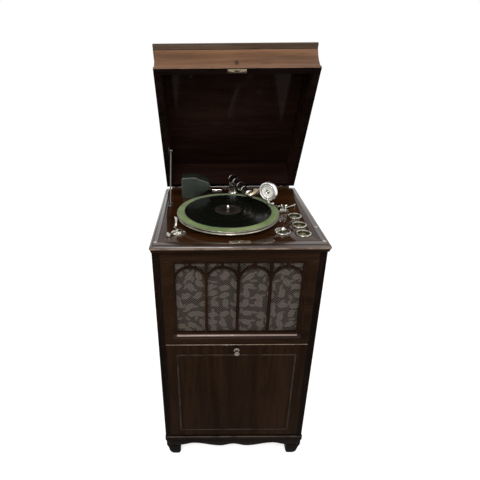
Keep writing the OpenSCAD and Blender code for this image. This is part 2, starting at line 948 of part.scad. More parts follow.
module hinge_pins() {
    color(steel)
        for (x = hinge_x)
            translate([x - hinge_w / 2 - 0.5, pin_y, pin_z])
                rotate([0, 90, 0])
                    cylinder(r = hinge_pin_r, h = hinge_w + 1);
    color(steel)
        on_both_sides()
            translate([opening_x - 13.5, door_axis[1], door_axis[2]])
                rotate([0, 90, 0])
                    cylinder(r = door_pin_r, h = 13.5);
}

// Lock: a plate under the rim with its bolt box above it, and the keyhole plate on the lid's front.
key_z = lid_z + 30;

module lid_lock() {
    color(brass)
        opened() {
            difference() {
                union() {
                    box([-26, 26], [lock_y - 6, lock_y + 6], [lid_z - 0.6, lid_z]);
                    box([-10, 10], [lock_y - 2.6, lock_y + 2.6], [lid_z - 0.5, lid_z + 26]);
                }
                box([-6, 6], [lock_y - 1.4, lock_y + 1.4], [lid_z - 1, lid_z + 12]);
            }
            translate([0, lid_front_y + 0.5, key_z])
                rotate([90, 0, 0])
                    difference() {
                        plate_stadium(11, 17, 1.6);
                        translate([0, 2, -1])
                            cylinder(r = 1.8, h = 4);
                        translate([-0.8, -4, -1])
                            cube([1.6, 6, 4]);
                    }
        }
}

stay_pin_ahead = 160;
stay_pin_up = 12;
stay_pin_r = 3;
stay_eye_r = 6.5;
stay_r = 2.5;
stay_l = 208;
stay_lean = 34;
stay_pin = [stay_x, pin_y - stay_pin_ahead, pin_z + stay_pin_up];

module stay_bracket() {
    wall_x = -lid_w / 2 + lid_wall_t;
    color(nickel)
        opened() {
            box([wall_x, wall_x + 2.5], [stay_pin[1] - 16, stay_pin[1] + 16], [stay_pin[2] - 9, stay_pin[2] + 9]);
            translate([wall_x + 2.5, stay_pin[1], stay_pin[2]])
                rotate([0, 90, 0])
                    cylinder(r = stay_pin_r, h = 11);
        }
}

// Place of the stay's pin with the lid open.
function opened_at(p) = [p[0],
    pin_y + (p[1] - pin_y) * cos(lid_open) + (p[2] - pin_z) * sin(lid_open),
    pin_z - (p[1] - pin_y) * sin(lid_open) + (p[2] - pin_z) * cos(lid_open)];

stay_top = opened_at(stay_pin);

module stay_rod() {
    color(nickel)
        translate(stay_top)
            rotate([-stay_lean, 0, 0])
                difference() {
                    union() {
                        translate([-2.5, 0, 0])
                            rotate([0, 90, 0])
                                cylinder(r = stay_eye_r, h = 5);
                        translate([0, 0, -stay_l])
                            cylinder(r = stay_r, h = stay_l - 4);
                    }
                    translate([-3, 0, 0])
                        rotate([0, 90, 0])
                            cylinder(r = stay_pin_r + run_gap, h = 6);
                }
}

// ---- Turntable and record ----

tt_z = deck_h + tt_top;
felt_t = 1.2;
spindle_r = 5;
peg_r = 3.5;
peg_l = 10.3;

module turntable() {
    top = tt_z - felt_t;
    low = top - tt_rim_h;
    profile = concat(
        [[spindle_r + run_gap, top - 14], [14, top - 14], [14, top - 3], [tt_r - 4, top - 3], [tt_r - 4, low],
            [tt_r - 1.5, low]],
        arc([tt_r - 1.5, low + 1.5], 1.5, -90, 0, 3),
        [[tt_r - 1, low + 3], [tt_r - 1, top - 3]],
        arc([tt_r - 1.5, top - 1.5], 1.5, 0, 90, 3),
        [[spindle_r + run_gap, top]]);
    color(nickel)
        translate([tt_x, tt_y, 0])
            rotate_extrude($fn = 96)
                polygon(profile);
}

module turntable_felt() {
    color([0.18, 0.33, 0.10])
        translate([tt_x, tt_y, tt_z - felt_t])
            difference() {
                cylinder(r = tt_r - 2, h = felt_t, $fn = 96);
                translate([0, 0, -1])
                    cylinder(r = spindle_r + 1, h = felt_t + 2);
            }
}

module record() {
    profile = [[peg_r + 0.3, 0], [record_r - 0.8, 0], [record_r, 0.9], [record_r - 0.8, record_t],
        [peg_r + 0.3, record_t]];
    color([0.02, 0.02, 0.02])
        translate([tt_x, tt_y, tt_z])
            rotate_extrude($fn = 96)
                polygon(profile);
}

module record_label() {
    color([0.05, 0.10, 0.06])
        translate([tt_x, tt_y, tt_z + record_t])
            difference() {
                cylinder(r = label_r, h = 0.25);
                translate([0, 0, -1])
                    cylinder(r = peg_r + 0.3, h = 2);
            }
}

// ---- Spring motor ----

plate_top = deck_h - 22;
plate_t = 4;
motor_h = 88;
spindle_teeth = 12;
wheel_teeth = 60;
train_m = 1.5;
wheel_pinion = 12;
barrel_teeth = 48;
barrel_m = 2.5;
train_reach = train_m * (spindle_teeth + wheel_teeth) / 2;
barrel_reach = barrel_m * (wheel_pinion + barrel_teeth) / 2;
train_at = [tt_x, tt_y] + train_reach * [cos(20), sin(20)];
barrel_at = train_at + barrel_reach * [cos(-75), sin(-75)];
barrel_y = barrel_at[1];
arbor_r = 5;
governor_x = tt_x - 23;
governor_z = plate_top - 56;

// Outline of a spur gear with generous play: straight-flanked teeth on the pitch circle.
function gear(teeth, m) = [for (i = [0:teeth - 1]) let (r = teeth * m / 2, a = 360 * i / teeth)
    for (p = [[r - 1.1 * m, -0.95], [r, -0.64], [r + 0.8 * m, -0.3], [r + 0.8 * m, 0.3], [r, 0.64],
        [r - 1.1 * m, 0.95]]) let (b = a + p[1] * m / p[0] * 180 / PI) [p[0] * cos(b), p[0] * sin(b)]];

module spur(teeth, m, h, turn) {
    rotate([0, 0, turn])
        linear_extrude(h)
            polygon(gear(teeth, m));
}

arbor_foot = plate_top - motor_h - plate_t + 0.8;

module spindle() {
    angle = atan2(train_at[1] - tt_y, train_at[0] - tt_x);
    worm_wheel_z = governor_z - 2;
    color(steel)
        translate([tt_x, tt_y, 0]) {
            translate([0, 0, arbor_foot])
                cylinder(r = spindle_r, h = tt_z - felt_t - arbor_foot);
            translate([0, 0, tt_z - felt_t])
                cylinder(r = peg_r - 0.2, h = 4);
            translate([0, 0, tt_z + record_t + 0.5])
                cylinder(r = peg_r, h = peg_l);
            translate([0, 0, tt_z + record_t + 0.5 + peg_l])
                cylinder(r1 = peg_r, r2 = 1.2, h = 4);
            translate([0, 0, tt_z - felt_t - 17])
                cylinder(r = 8, h = 2.7);
            translate([0, 0, plate_top - plate_t - 16])
                spur(spindle_teeth, train_m, 12, angle + 180 / spindle_teeth);
            translate([0, 0, worm_wheel_z])
                spur(30, 1.2, 4, 180);
        }
}

module train_wheel() {
    to_spindle = atan2(tt_y - train_at[1], tt_x - train_at[0]);
    to_barrel = -75;
    color(brass)
        translate([train_at[0], train_at[1], 0]) {
            translate([0, 0, plate_top - plate_t - 14])
                spur(wheel_teeth, train_m, 7, to_spindle);
            translate([0, 0, plate_top - plate_t - 32])
                spur(wheel_pinion, barrel_m, 18.5, to_barrel + 180 / wheel_pinion);
            translate([0, 0, arbor_foot])
                cylinder(r = arbor_r, h = plate_top - 0.3 - arbor_foot);
        }
}

module spring_barrel() {
    to_train = 105;
    z = plate_top - plate_t - 30;
    color(brass)
        translate([barrel_at[0], barrel_at[1], 0])
            difference() {
                union() {
                    translate([0, 0, z])
                        spur(barrel_teeth, barrel_m, 8, to_train);
                    translate([0, 0, z - 44])
                        cylinder(r = 44, h = 44.5);
                }
                translate([0, 0, z - 50])
                    cylinder(r = arbor_r + run_gap, h = 70);
            }
}

// Winding: a crown wheel under the frame turns the arbor inside the barrel, and the shaft's pinion drives it.
crown_teeth = 24;
pinion_teeth = 12;
wind_m = 1.6;
crown_r = crown_teeth * wind_m / 2;
pinion_r = pinion_teeth * wind_m / 2;
crown_face = crank_z + pinion_r + 1.2 * wind_m;
crank_r = 5;

module winding_arbor() {
    top = plate_top - 0.3;
    color(steel)
        translate([barrel_at[0], barrel_at[1], 0]) {
            translate([0, 0, crown_face])
                cylinder(r = arbor_r, h = top - crown_face);
            translate([0, 0, crown_face])
                cylinder(r = crown_r + 3, h = 3);
            translate([0, 0, crown_face + 2.5])
                cylinder(r = 9, h = plate_top - motor_h - plate_t - 0.3 - crown_face - 2.5);
            translate([0, 0, plate_top - motor_h + 0.3])
                cylinder(r = 9, h = 9.4);
            for (i = [0:crown_teeth - 1])
                rotate([0, 0, (i + 0.5) * 360 / crown_teeth])
                    translate([crown_r - 3, -0.75, crown_face - 1.9 * wind_m])
                        cube([6, 1.5, 1.9 * wind_m + 0.5]);
        }
}

module winding_shaft() {
    x0 = barrel_at[0] + 9;
    pinion_x = barrel_at[0] + crown_r - 2;
    socket_x = side_x - wall_t - 30;
    color(steel)
        translate([0, barrel_at[1], crank_z])
            rotate([0, 90, 0])
                difference() {
                    union() {
                        translate([0, 0, x0])
                            cylinder(r = 4, h = socket_x - x0 + 0.5);
                        translate([0, 0, pinion_x])
                            spur(pinion_teeth, wind_m, 4, 180);
                        translate([0, 0, socket_x])
                            cylinder(r = 9, h = 28);
                    }
                    translate([0, 0, socket_x + 4])
                        cylinder(r = crank_r, h = 30);
                }
}

module motor_frame() {
    x = [tt_x - 62, barrel_at[0] + 68];
    y = [barrel_at[1] - 66, tt_y + 88];
    bottom = plate_top - motor_h - plate_t;
    color(steel)
        difference() {
            union() {
                box(x, y, [plate_top - plate_t, plate_top]);
                box(x, y, [bottom, bottom + plate_t]);
                for (cx = [x[0] + 9, x[1] - 9])
                    for (cy = [y[0] + 9, y[1] - 9]) {
                        translate([cx, cy, bottom + plate_t - 0.5])
                            cylinder(r = 6, h = motor_h - plate_t + 1);
                        translate([cx, cy, plate_top - 0.5])
                            cylinder(r = 7, h = board_bot - plate_top + 0.5);
                    }
                governor_bearing(tt_y - 30);
                governor_bearing(tt_y + 76);
                shaft_bearing(barrel_at[0] + 34);
                shaft_bearing(barrel_at[0] + 62);
            }
            for (at = [[tt_x, tt_y], train_at])
                translate([at[0], at[1], arbor_foot - 0.3])
                    cylinder(r = arbor_r + run_gap, h = 200);
            translate([barrel_at[0], barrel_at[1], bottom - 1])
                cylinder(r = arbor_r + run_gap, h = 200);
            translate([governor_x, tt_y - 40, governor_z])
                rotate([-90, 0, 0])
                    cylinder(r = 2.5 + run_gap, h = 130);
            translate([barrel_at[0] + 25, barrel_at[1], crank_z])
                rotate([0, 90, 0])
                    cylinder(r = 4 + run_gap, h = 50);
        }
}

module governor_bearing(y) {
    box([governor_x - 6, governor_x + 6], [y - 3, y + 3], [governor_z - 8, plate_top - plate_t + 0.5]);
}

module shaft_bearing(x) {
    bottom = plate_top - motor_h - plate_t;
    box([x - 3, x + 3], [barrel_at[1] - 8, barrel_at[1] + 8], [crank_z - 8, bottom + 0.5]);
}

// Governor: worm, friction disc, and weights on their springs.
module governor() {
    worm_r = 4.2;
    lead = 1.2 * PI;
    turns = 5;
    color(brass)
        translate([governor_x, tt_y, governor_z])
            rotate([-90, 0, 0]) {
                translate([0, 0, -33])
                    cylinder(r = 2.5, h = 112);
                translate([0, 0, -turns * lead / 2])
                    rotate([0, 0, 180 + 180 * turns])
                        linear_extrude(turns * lead, twist = -360 * turns, slices = 12 * turns)
                            translate([0.9, 0])
                                circle(r = worm_r, $fn = 16);
                translate([0, 0, 22])
                    cylinder(r = 18, h = 3);
                translate([0, 0, 60])
                    cylinder(r = 6, h = 6);
                for (a = [0, 120, 240])
                    rotate([0, 0, a]) {
                        translate([5, -2.5, 24.5])
                            cube([2, 5, 36]);
                        translate([10.5, 0, 37])
                            cylinder(r = 5, h = 10);
                    }
            }
}

module winding_escutcheon() {
    profile = [[7, 0], [19, 0], [18, 1.2], [12, 2], [7, 2]];
    color(nickel)
        translate([side_x, barrel_at[1], crank_z])
            rotate([0, 90, 0])
                rotate_extrude()
                    polygon(profile);
}

// ---- Tone arm ----

arm_z = deck_h + arm_h;
arm_dir = [sin(arm_turn), -cos(arm_turn), 0];
arm_start = [arm_x, arm_y, arm_z];
arm_end = arm_start + arm_l * arm_dir;
// Direction of the sound box's face, and the way its needle leans.
face_dir = [-0.616, -0.788, 0];
lean_dir = [0.788, -0.616, 0];
lift_at = arm_end + [20.2, -13.15, 15];
soundbox_at = arm_end + [50.7, -39.15, 22];
needle_tip = [soundbox_at[0] + 10, soundbox_at[1] - 8.2, tt_z + record_t + seat_gap];

// Ringed tube: bead-like rings divide the tapering horn of the arm.
function ring_profile(rings, r0, r1, l) = [for (i = [0:rings - 1])
    let (s = l * i / (rings - 1), r = r0 + (r1 - r0) * i / (rings - 1))
    for (p = arc([r - 1.5, s + 2.4], 3, -60, 60, 4)) [p[0], p[1]]];

module ringed_arm() {
    rings = 5;
    color(nickel)
        translate(arm_start) {
            translate([0, 0, 28 - arm_h + seat_gap])
                cylinder(r1 = 14.5, r2 = 13, h = arm_h - 28 - seat_gap);
            sphere(r = 13.5);
            rotate([90, 0, arm_turn])
                rotate_extrude()
                    polygon(concat([[0, 0]], ring_profile(rings, 15.5, 10.5, arm_l - 6),
                        [[8.5, arm_l], [0, arm_l]]));
            translate([0, 0, -arm_h - board_t + 2])
                cylinder(r = 9.95, h = arm_h + board_t - 2);
        }
}

module arm_casting() {
    color([0.78, 0.72, 0.60]) {
        rod(arm_end + seat_gap * arm_dir, arm_end + 9 * arm_dir, 8.5);
        translate(arm_end + 9 * arm_dir)
            sphere(r = 8.4);
        cone_rod(arm_end + 9 * arm_dir, lift_at + [0, 0, -4], 8, 7);
        translate(lift_at)
            rotate([90, 0, atan2(face_dir[1], face_dir[0]) + 90])
                translate([0, 0, -7])
                    cylinder(r = 9, h = 14);
    }
}

// The neck swings on the boss and carries the sound box from behind.
module soundbox_neck() {
    color([0.78, 0.72, 0.60]) {
        translate(lift_at - 7.3 * face_dir)
            rotate([90, 0, atan2(face_dir[1], face_dir[0]) - 90])
                cylinder(r = 8.5, h = 9);
        rod(lift_at - 13.2 * face_dir, soundbox_at - 15 * face_dir, 5.5);
        translate(soundbox_at - 15 * face_dir)
            sphere(r = 7);
        rod(soundbox_at - 15 * face_dir, soundbox_at - 7.5 * face_dir, 7);
    }
}

module soundbox() {
    r = soundbox_r;
    profile = [[0, -7.5], [12, -7.5], [14, -5], [r - 3, -4], [r, -2], [r, 5], [r - 1.5, 6.5], [r - 3.5, 6.5],
        [r - 4.5, 5], [r - 6, 5], [r - 7, 6], [r - 9, 6], [r - 10, 4.2], [9, 3.4], [8, 4.6], [5, 4.6], [4, 3.4],
        [0, 3.4]];
    color([0.86, 0.84, 0.78])
        translate(soundbox_at)
            rotate([90, 0, atan2(face_dir[1], face_dir[0]) + 90])
                rotate_extrude()
                    polygon(profile);
}

bar_ahead = 10.6;

// Stylus bar from the middle of the diaphragm to the needle, and the needle itself.
module stylus_bar() {
    front = bar_ahead * face_dir;
    hub = soundbox_at + front;
    holder = soundbox_at + front + (soundbox_r + 4) * [0.25 * lean_dir[0], 0.25 * lean_dir[1], -0.968];
    color(nickel) {
        translate(soundbox_at + 4.7 * face_dir)
            rotate([90, 0, atan2(face_dir[1], face_dir[0]) + 90])
                cylinder(r = 2.4, h = 6);
        rod(hub, holder, 1.5);
        rod(holder + [0, 0, 5], holder + [0, 0, -6], 3.8);
        cone_rod(holder + [0, 0, -4], needle_tip, 1.1, 0.35);
    }
}

module needle_screw() {
    holder = soundbox_at + bar_ahead * face_dir
        + (soundbox_r + 4) * [0.25 * lean_dir[0], 0.25 * lean_dir[1], -0.968];
    from = holder + 4.1 * lean_dir;
    color(nickel) {
        rod(from, from + 9 * lean_dir, 1.6);
        rod(from + 7 * lean_dir, from + 13 * lean_dir, 4.2);
    }
}

left_side();
right_side();
back_panel();
bottom_board();
shelf_board();
front_posts();
frieze_rail();
mid_rail();
base_rail();
front_apron();
feet();
deck_frame();
motor_board();
grille_frame();
grille_fret();
grille_cloth();
horn();
horn_elbow();
record_dividers();
needle_cups();
brake_plate();
regulator_plate();
lock_striker();
deck_buffers();
stay_plate();
arm_base();
auto_stop();
stop_lever();
accessory_boxes();
deck_hinge_leaves();
hinge_pins();
motor_frame();
winding_escutcheon();
lid_walls();
lid_top();
lid_hinge_leaves();
lid_lock();
stay_bracket();
stay_rod();
door();
door_bead();
door_knob();
turntable();
turntable_felt();
spindle();
record();
record_label();
ringed_arm();
arm_casting();
soundbox_neck();
soundbox();
stylus_bar();
needle_screw();
brake_lever();
speed_pointer();
spring_barrel();
winding_arbor();
train_wheel();
governor();
winding_shaft();
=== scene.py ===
import json
import logging
import math
import random
from contextlib import contextmanager
from dataclasses import dataclass
from enum import Enum
from typing import Callable, Iterable, Iterator, Sequence

import bmesh
import bpy
from mathutils import Matrix, Vector

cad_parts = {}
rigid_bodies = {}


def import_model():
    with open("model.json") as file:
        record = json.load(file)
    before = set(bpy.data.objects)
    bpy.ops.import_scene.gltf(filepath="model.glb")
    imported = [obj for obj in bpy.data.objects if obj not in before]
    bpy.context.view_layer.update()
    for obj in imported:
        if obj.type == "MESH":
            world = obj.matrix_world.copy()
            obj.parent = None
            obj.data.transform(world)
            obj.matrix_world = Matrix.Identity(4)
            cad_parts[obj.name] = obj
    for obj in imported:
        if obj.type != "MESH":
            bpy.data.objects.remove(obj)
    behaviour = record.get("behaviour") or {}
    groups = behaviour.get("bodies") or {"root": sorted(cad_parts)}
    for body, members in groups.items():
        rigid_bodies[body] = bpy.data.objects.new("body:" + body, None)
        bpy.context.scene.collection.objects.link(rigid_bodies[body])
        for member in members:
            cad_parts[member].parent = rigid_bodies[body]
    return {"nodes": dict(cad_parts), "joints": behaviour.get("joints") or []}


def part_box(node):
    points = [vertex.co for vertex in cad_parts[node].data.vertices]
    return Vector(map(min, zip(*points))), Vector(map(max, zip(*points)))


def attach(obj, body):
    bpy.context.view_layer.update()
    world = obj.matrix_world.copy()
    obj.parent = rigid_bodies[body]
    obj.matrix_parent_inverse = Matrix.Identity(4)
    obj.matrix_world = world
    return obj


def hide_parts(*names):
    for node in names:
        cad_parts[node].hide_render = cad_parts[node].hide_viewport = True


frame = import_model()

LOG = logging.getLogger("cabinet")
MM = 0.001
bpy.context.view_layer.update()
Colour = tuple[float, float, float]
Point = tuple[float, float, float]
Profile = Sequence[tuple[float, float]]
Socket = bpy.types.NodeSocket
Piece = bpy.types.Object
Finish = bpy.types.Material
Face = bpy.types.MeshPolygon
UP = Vector((0.0, 0.0, 1.0))
ACROSS = Vector((1.0, 0.0, 0.0))


class Grain(Enum):
    """The way that the grain of a board runs."""

    ACROSS = (0.9, 14.0, 14.0)
    UPRIGHT = (14.0, 14.0, 0.9)


class Brush(Enum):
    """How a metal was finished."""

    POLISHED = 0.12
    WORN = 0.24
    DULL = 0.42


class NodeSheet:
    """One node material that is built up step by step."""

    def __init__(self, name: str) -> None:
        """Starts an empty material with its shader.

        Args:
            name: the material's name.
        """
        self.material = bpy.data.materials.new(name)
        self.material.use_nodes = True
        self.tree = self.material.node_tree
        self.tree.nodes.clear()
        self.out = self.tree.nodes.new("ShaderNodeOutputMaterial")
        self.shader = self.tree.nodes.new("ShaderNodeBsdfPrincipled")
        self.tree.links.new(self.shader.outputs["BSDF"], self.out.inputs["Surface"])
        self.place = self.tree.nodes.new("ShaderNodeTexCoord").outputs["Object"]

    def link(self, source: Socket, target: Socket) -> None:
        """Joins an output to an input."""
        self.tree.links.new(source, target)

    def node(self, kind: str, **values: object) -> bpy.types.Node:
        """Adds a node and sets its inputs.

        Args:
            kind: the node's type without its first word.
            **values: a socket or a value for each input, named with underscores for spaces.

        Returns:
            The node.
        """
        node = self.tree.nodes.new("ShaderNode" + kind)
        for key, value in values.items():
            self.feed(node.inputs[key.replace("_", " ")], value)
        return node

    def feed(self, target: Socket, value: object) -> None:
        """Fills an input.

        Args:
            target: the input.
            value: a socket, a colour or a plain value.
        """
        if isinstance(value, Socket):
            self.link(value, target)
        elif target.type == "RGBA" and len(value) == 3:
            target.default_value = (*value, 1.0)
        else:
            target.default_value = value

    def set(self, **values: object) -> None:
        """Sets the shader's own sockets, named with underscores for spaces."""
        for key, value in values.items():
            self.shader.inputs[key.replace("_", " ")].default_value = value

    def colour(self, value: Socket) -> None:
        """Gives the surface its colour."""
        self.link(value, self.shader.inputs["Base Color"])

    def rough(self, value: Socket, low: float, high: float, start: float = 0.3, end: float = 0.7) -> None:
        """Gives the surface a roughness from low to high, where the value runs from start to end."""
        self.link(self.span(value, low, high, start, end), self.shader.inputs["Roughness"])

    def mapping(self, scale: Point = (1.0, 1.0, 1.0), turn: Point = (0.0, 0.0, 0.0),
                shift: Point = (0.0, 0.0, 0.0)) -> Socket:
        """Returns object coordinates, scaled, turned and shifted."""
        return self.node("Mapping", Vector=self.place, Scale=scale, Rotation=turn,
                         Location=shift).outputs["Vector"]

    def noise(self, vector: Socket, scale: float, detail: float = 4.0, bend: float = 0.0) -> Socket:
        """Returns a noise value on the vector."""
        node = self.node("TexNoise", Vector=vector, Scale=scale, Detail=detail, Distortion=bend)
        return node.outputs["Fac"]

    def radius(self, middle: Point) -> Socket:
        """Measures the distance from an upright line.

        Args:
            middle: a point on the line.

        Returns:
            The distance in metres.
        """
        away = self.mapping((1.0, 1.0, 0.0), shift=(-middle[0], -middle[1], 0.0))
        node = self.node("VectorMath", Vector=away)
        node.operation = "LENGTH"
        return node.outputs["Value"]

    def parts(self, vector: Socket) -> list[Socket]:
        """Returns the three parts of a vector."""
        return list(self.node("SeparateXYZ", Vector=vector).outputs)

    def ramp(self, value: Socket, stops: Sequence[tuple[float, Colour]]) -> Socket:
        """Colours a value.

        Args:
            value: the value.
            stops: the colours at their values.

        Returns:
            The colour.
        """
        node = self.node("ValToRGB", Fac=value)
        bar = node.color_ramp
        while len(bar.elements) < len(stops):
            bar.elements.new(0.5)
        for element, (place, colour) in zip(bar.elements, stops):
            element.position = place
            element.color = (*colour, 1.0)
        return node.outputs["Color"]

    def maths(self, way: str, a: object, b: object = 0.0) -> Socket:
        """Does one sum.

        Args:
            way: the kind of sum.
            a: the first term, a socket or a number.
            b: the second term.

        Returns:
            The result.
        """
        node = self.node("Math")
        node.operation = way
        self.feed(node.inputs[0], a)
        self.feed(node.inputs[1], b)
        return node.outputs["Value"]

    def times(self, a: object, b: object) -> Socket:
        """Returns a times b."""
        return self.maths("MULTIPLY", a, b)

    def plus(self, a: object, b: object) -> Socket:
        """Returns a plus b."""
        return self.maths("ADD", a, b)

    def less(self, a: object, b: object) -> Socket:
        """Returns a less b."""
        return self.maths("SUBTRACT", a, b)

    def mix(self, fac: object, a: object, b: object) -> Socket:
        """Turns one colour towards another.

        Args:
            fac: the share of the second colour.
            a: the first colour.
            b: the second colour.

        Returns:
            The mixed colour.
        """
        node = self.node("Mix")
        node.data_type = "RGBA"
        node.clamp_factor = True
        for place, term in ((0, fac), (6, a), (7, b)):
            self.feed(node.inputs[place], term)
        return node.outputs[2]

    def span(self, value: Socket, low: float, high: float, start: float = 0.3, end: float = 0.7) -> Socket:
        """Returns the value carried from start..end to low..high."""
        return self.node("MapRange", Value=value, From_Min=start, From_Max=end, To_Min=low,
                         To_Max=high).outputs["Result"]

    def bump(self, height: Socket, depth: float, strength: float = 1.0) -> None:
        """Presses the height into the surface.

        Args:
            height: the value that gives the relief.
            depth: its depth in metres.
            strength: how much of it shows.
        """
        node = self.node("Bump", Height=height, Distance=depth, Strength=strength)
        self.link(node.outputs["Normal"], self.shader.inputs["Normal"])


def scaled(colour: Colour, k: float) -> Colour:
    """Returns the colour times k."""
    return (colour[0] * k, colour[1] * k, colour[2] * k)


@dataclass(frozen=True)
class PolishedWood:
    """Dark stained and polished mahogany."""

    name: str
    grain: Grain
    dark: Colour = (0.0060, 0.0027, 0.0011)
    middle: Colour = (0.0116, 0.0051, 0.0021)
    light: Colour = (0.0195, 0.0090, 0.0040)
    coat: float = 0.04
    gloss: float = 0.12
    specular: float = 0.0
    pore_share: float = 0.7

    def build(self) -> Finish:
        """Lays bands, streaks and open pores under a french-polished coat.

        Returns:
            The node material.
        """
        s = NodeSheet(self.name)
        along = s.mapping(self.grain.value)
        bands = s.noise(along, 1.6, 5.0, 0.6)
        streaks = s.noise(along, 7.0, 6.0, 0.2)
        pores = s.noise(s.mapping(scaled(self.grain.value, 5.0)), 4.0, 3.0)
        cloud = s.noise(s.mapping(), 3.2, 3.0)
        tint = s.plus(s.times(bands, 0.62), s.times(streaks, 0.38))
        body = s.ramp(tint, [(0.33, self.dark), (0.5, self.middle), (0.66, self.light)])
        faded = s.mix(s.span(cloud, 0.0, 0.35, 0.45, 0.72), body, scaled(self.light, 1.5))
        flecked = s.mix(s.span(pores, 0.55, 0.0, 0.30, 0.42), faded, scaled(self.dark, 0.5))
        s.colour(flecked)
        s.rough(cloud, 0.30, 0.46)
        s.set(Coat_Weight=self.coat, Coat_Roughness=self.gloss, Specular_IOR_Level=self.specular)
        s.bump(s.plus(s.times(pores, self.pore_share), streaks), 0.00012, 0.5)
        return s.material


@dataclass(frozen=True)
class EdgeWearAndHighlight:
    """Lighter wood along an edge: worn polish on some edges, a painted highlight on others."""

    name: str
    worn_and_lit: Colour
    polished: Colour
    cover: tuple[float, float] = (0.42, 0.60)
    coat: float = 0.25

    def build(self) -> Finish:
        """Lays lighter patches over dark wood: worn polish where the finish is worn, a painted highlight
        where it stands for light.

        Returns:
            The node material.
        """
        s = NodeSheet(self.name)
        rub = s.noise(s.mapping(), 26.0, 5.0, 0.4)
        s.colour(s.ramp(rub, [(self.cover[0], self.polished), (self.cover[1], self.worn_and_lit)]))
        s.rough(rub, 0.28, 0.5)
        s.set(Coat_Weight=self.coat, Coat_Roughness=0.16, Specular_IOR_Level=0.3 * self.coat)
        s.bump(rub, 0.0002, 0.4)
        return s.material


@dataclass(frozen=True)
class PlainWood:
    """Unpolished inner wood."""

    name: str
    grain: Grain
    colour: Colour = (0.16, 0.085, 0.04)

    def build(self) -> Finish:
        """Lays a dusty straight grain.

        Returns:
            The node material.
        """
        s = NodeSheet(self.name)
        streaks = s.noise(s.mapping(self.grain.value), 5.0, 6.0, 0.3)
        s.colour(s.ramp(streaks, [(0.35, scaled(self.colour, 0.6)), (0.65, self.colour)]))
        s.rough(streaks, 0.6, 0.8)
        s.bump(streaks, 0.0002, 0.5)
        return s.material


@dataclass(frozen=True)
class Metal:
    """A metal with tarnish, fine scratches and a little grime."""

    name: str
    colour: Colour
    tarnish: Colour
    brush: Brush = Brush.POLISHED
    spots: float = 0.35

    def build(self) -> Finish:
        """Lays tarnish and fine scratches over the metal.

        Returns:
            The node material.
        """
        s = NodeSheet(self.name)
        patch = s.noise(s.mapping(), 55.0, 5.0, 0.5)
        fine = s.noise(s.mapping(), 420.0, 3.0)
        s.colour(s.mix(s.span(patch, 0.0, self.spots, 0.48, 0.70), self.colour, self.tarnish))
        rough = self.brush.value
        s.rough(patch, rough, rough + 0.16)
        s.set(Metallic=1.0)
        s.bump(s.plus(fine, patch), 0.00005, 0.35)
        return s.material


@dataclass(frozen=True)
class Enamel:
    """Black or dark green stove enamel."""

    name: str
    colour: Colour
    rough: float = 0.32

    def build(self) -> Finish:
        """Lays enamel with a fine wrinkle.

        Returns:
            The node material.
        """
        s = NodeSheet(self.name)
        patch = s.noise(s.mapping(), 18.0, 4.0)
        wrinkle = s.noise(s.mapping(), 700.0, 3.0)
        s.colour(s.ramp(patch, [(0.35, scaled(self.colour, 0.7)), (0.7, scaled(self.colour, 1.6))]))
        s.rough(patch, self.rough, self.rough + 0.15)
        s.set(Coat_Weight=0.25, Coat_Roughness=0.2)
        s.bump(wrinkle, 0.00006, 0.6)
        return s.material


@dataclass(frozen=True)
class Felt:
    """Green baize that is faded and a little matted."""

    name: str = "felt_green"
    dark: Colour = (0.066, 0.108, 0.028)
    light: Colour = (0.170, 0.215, 0.088)

    def build(self) -> Finish:
        """Lays fibres, faded patches and a little sheen.

        Returns:
            The node material.
        """
        s = NodeSheet(self.name)
        fibre = s.noise(s.mapping(), 900.0, 4.0, 1.2)
        patch = s.noise(s.mapping(), 16.0, 4.0, 0.3)
        tint = s.plus(s.times(fibre, 0.4), s.times(patch, 0.6))
        s.colour(s.ramp(tint, [(0.36, self.dark), (0.58, self.light)]))
        s.rough(patch, 0.88, 0.98)
        s.set(Sheen_Weight=0.12, Sheen_Roughness=0.5, Specular_IOR_Level=0.08)
        s.bump(fibre, 0.0006, 0.7)
        return s.material


@dataclass(frozen=True)
class Shellac:
    """A black record with its grooves pressed round the middle.

    Args:
        middle: the record's middle, in metres.
    """

    middle: Point
    name: str = "shellac"
    groove_pitch: float = 0.0011
    band_pitch: float = 0.034

    def build(self) -> Finish:
        """Lays a black, glossy and finely ringed face.

        Returns:
            The node material.
        """
        s = NodeSheet(self.name)
        radius = s.radius(self.middle)
        grooves = s.maths("SINE", s.times(radius, math.tau / self.groove_pitch))
        tracks = s.noise(s.mapping(), 3.0, 2.0)
        bands = s.maths("SINE", s.times(radius, math.tau / self.band_pitch))
        s.colour(s.ramp(tracks, [(0.3, (0.0024, 0.0030, 0.0020)), (0.7, (0.0042, 0.0050, 0.0034))]))
        s.rough(bands, 0.22, 0.28, -1.0, 1.0)
        s.set(Specular_IOR_Level=0.10, Coat_Weight=0.05, Coat_Roughness=0.06)
        s.bump(grooves, 0.00001, 0.01)
        return s.material


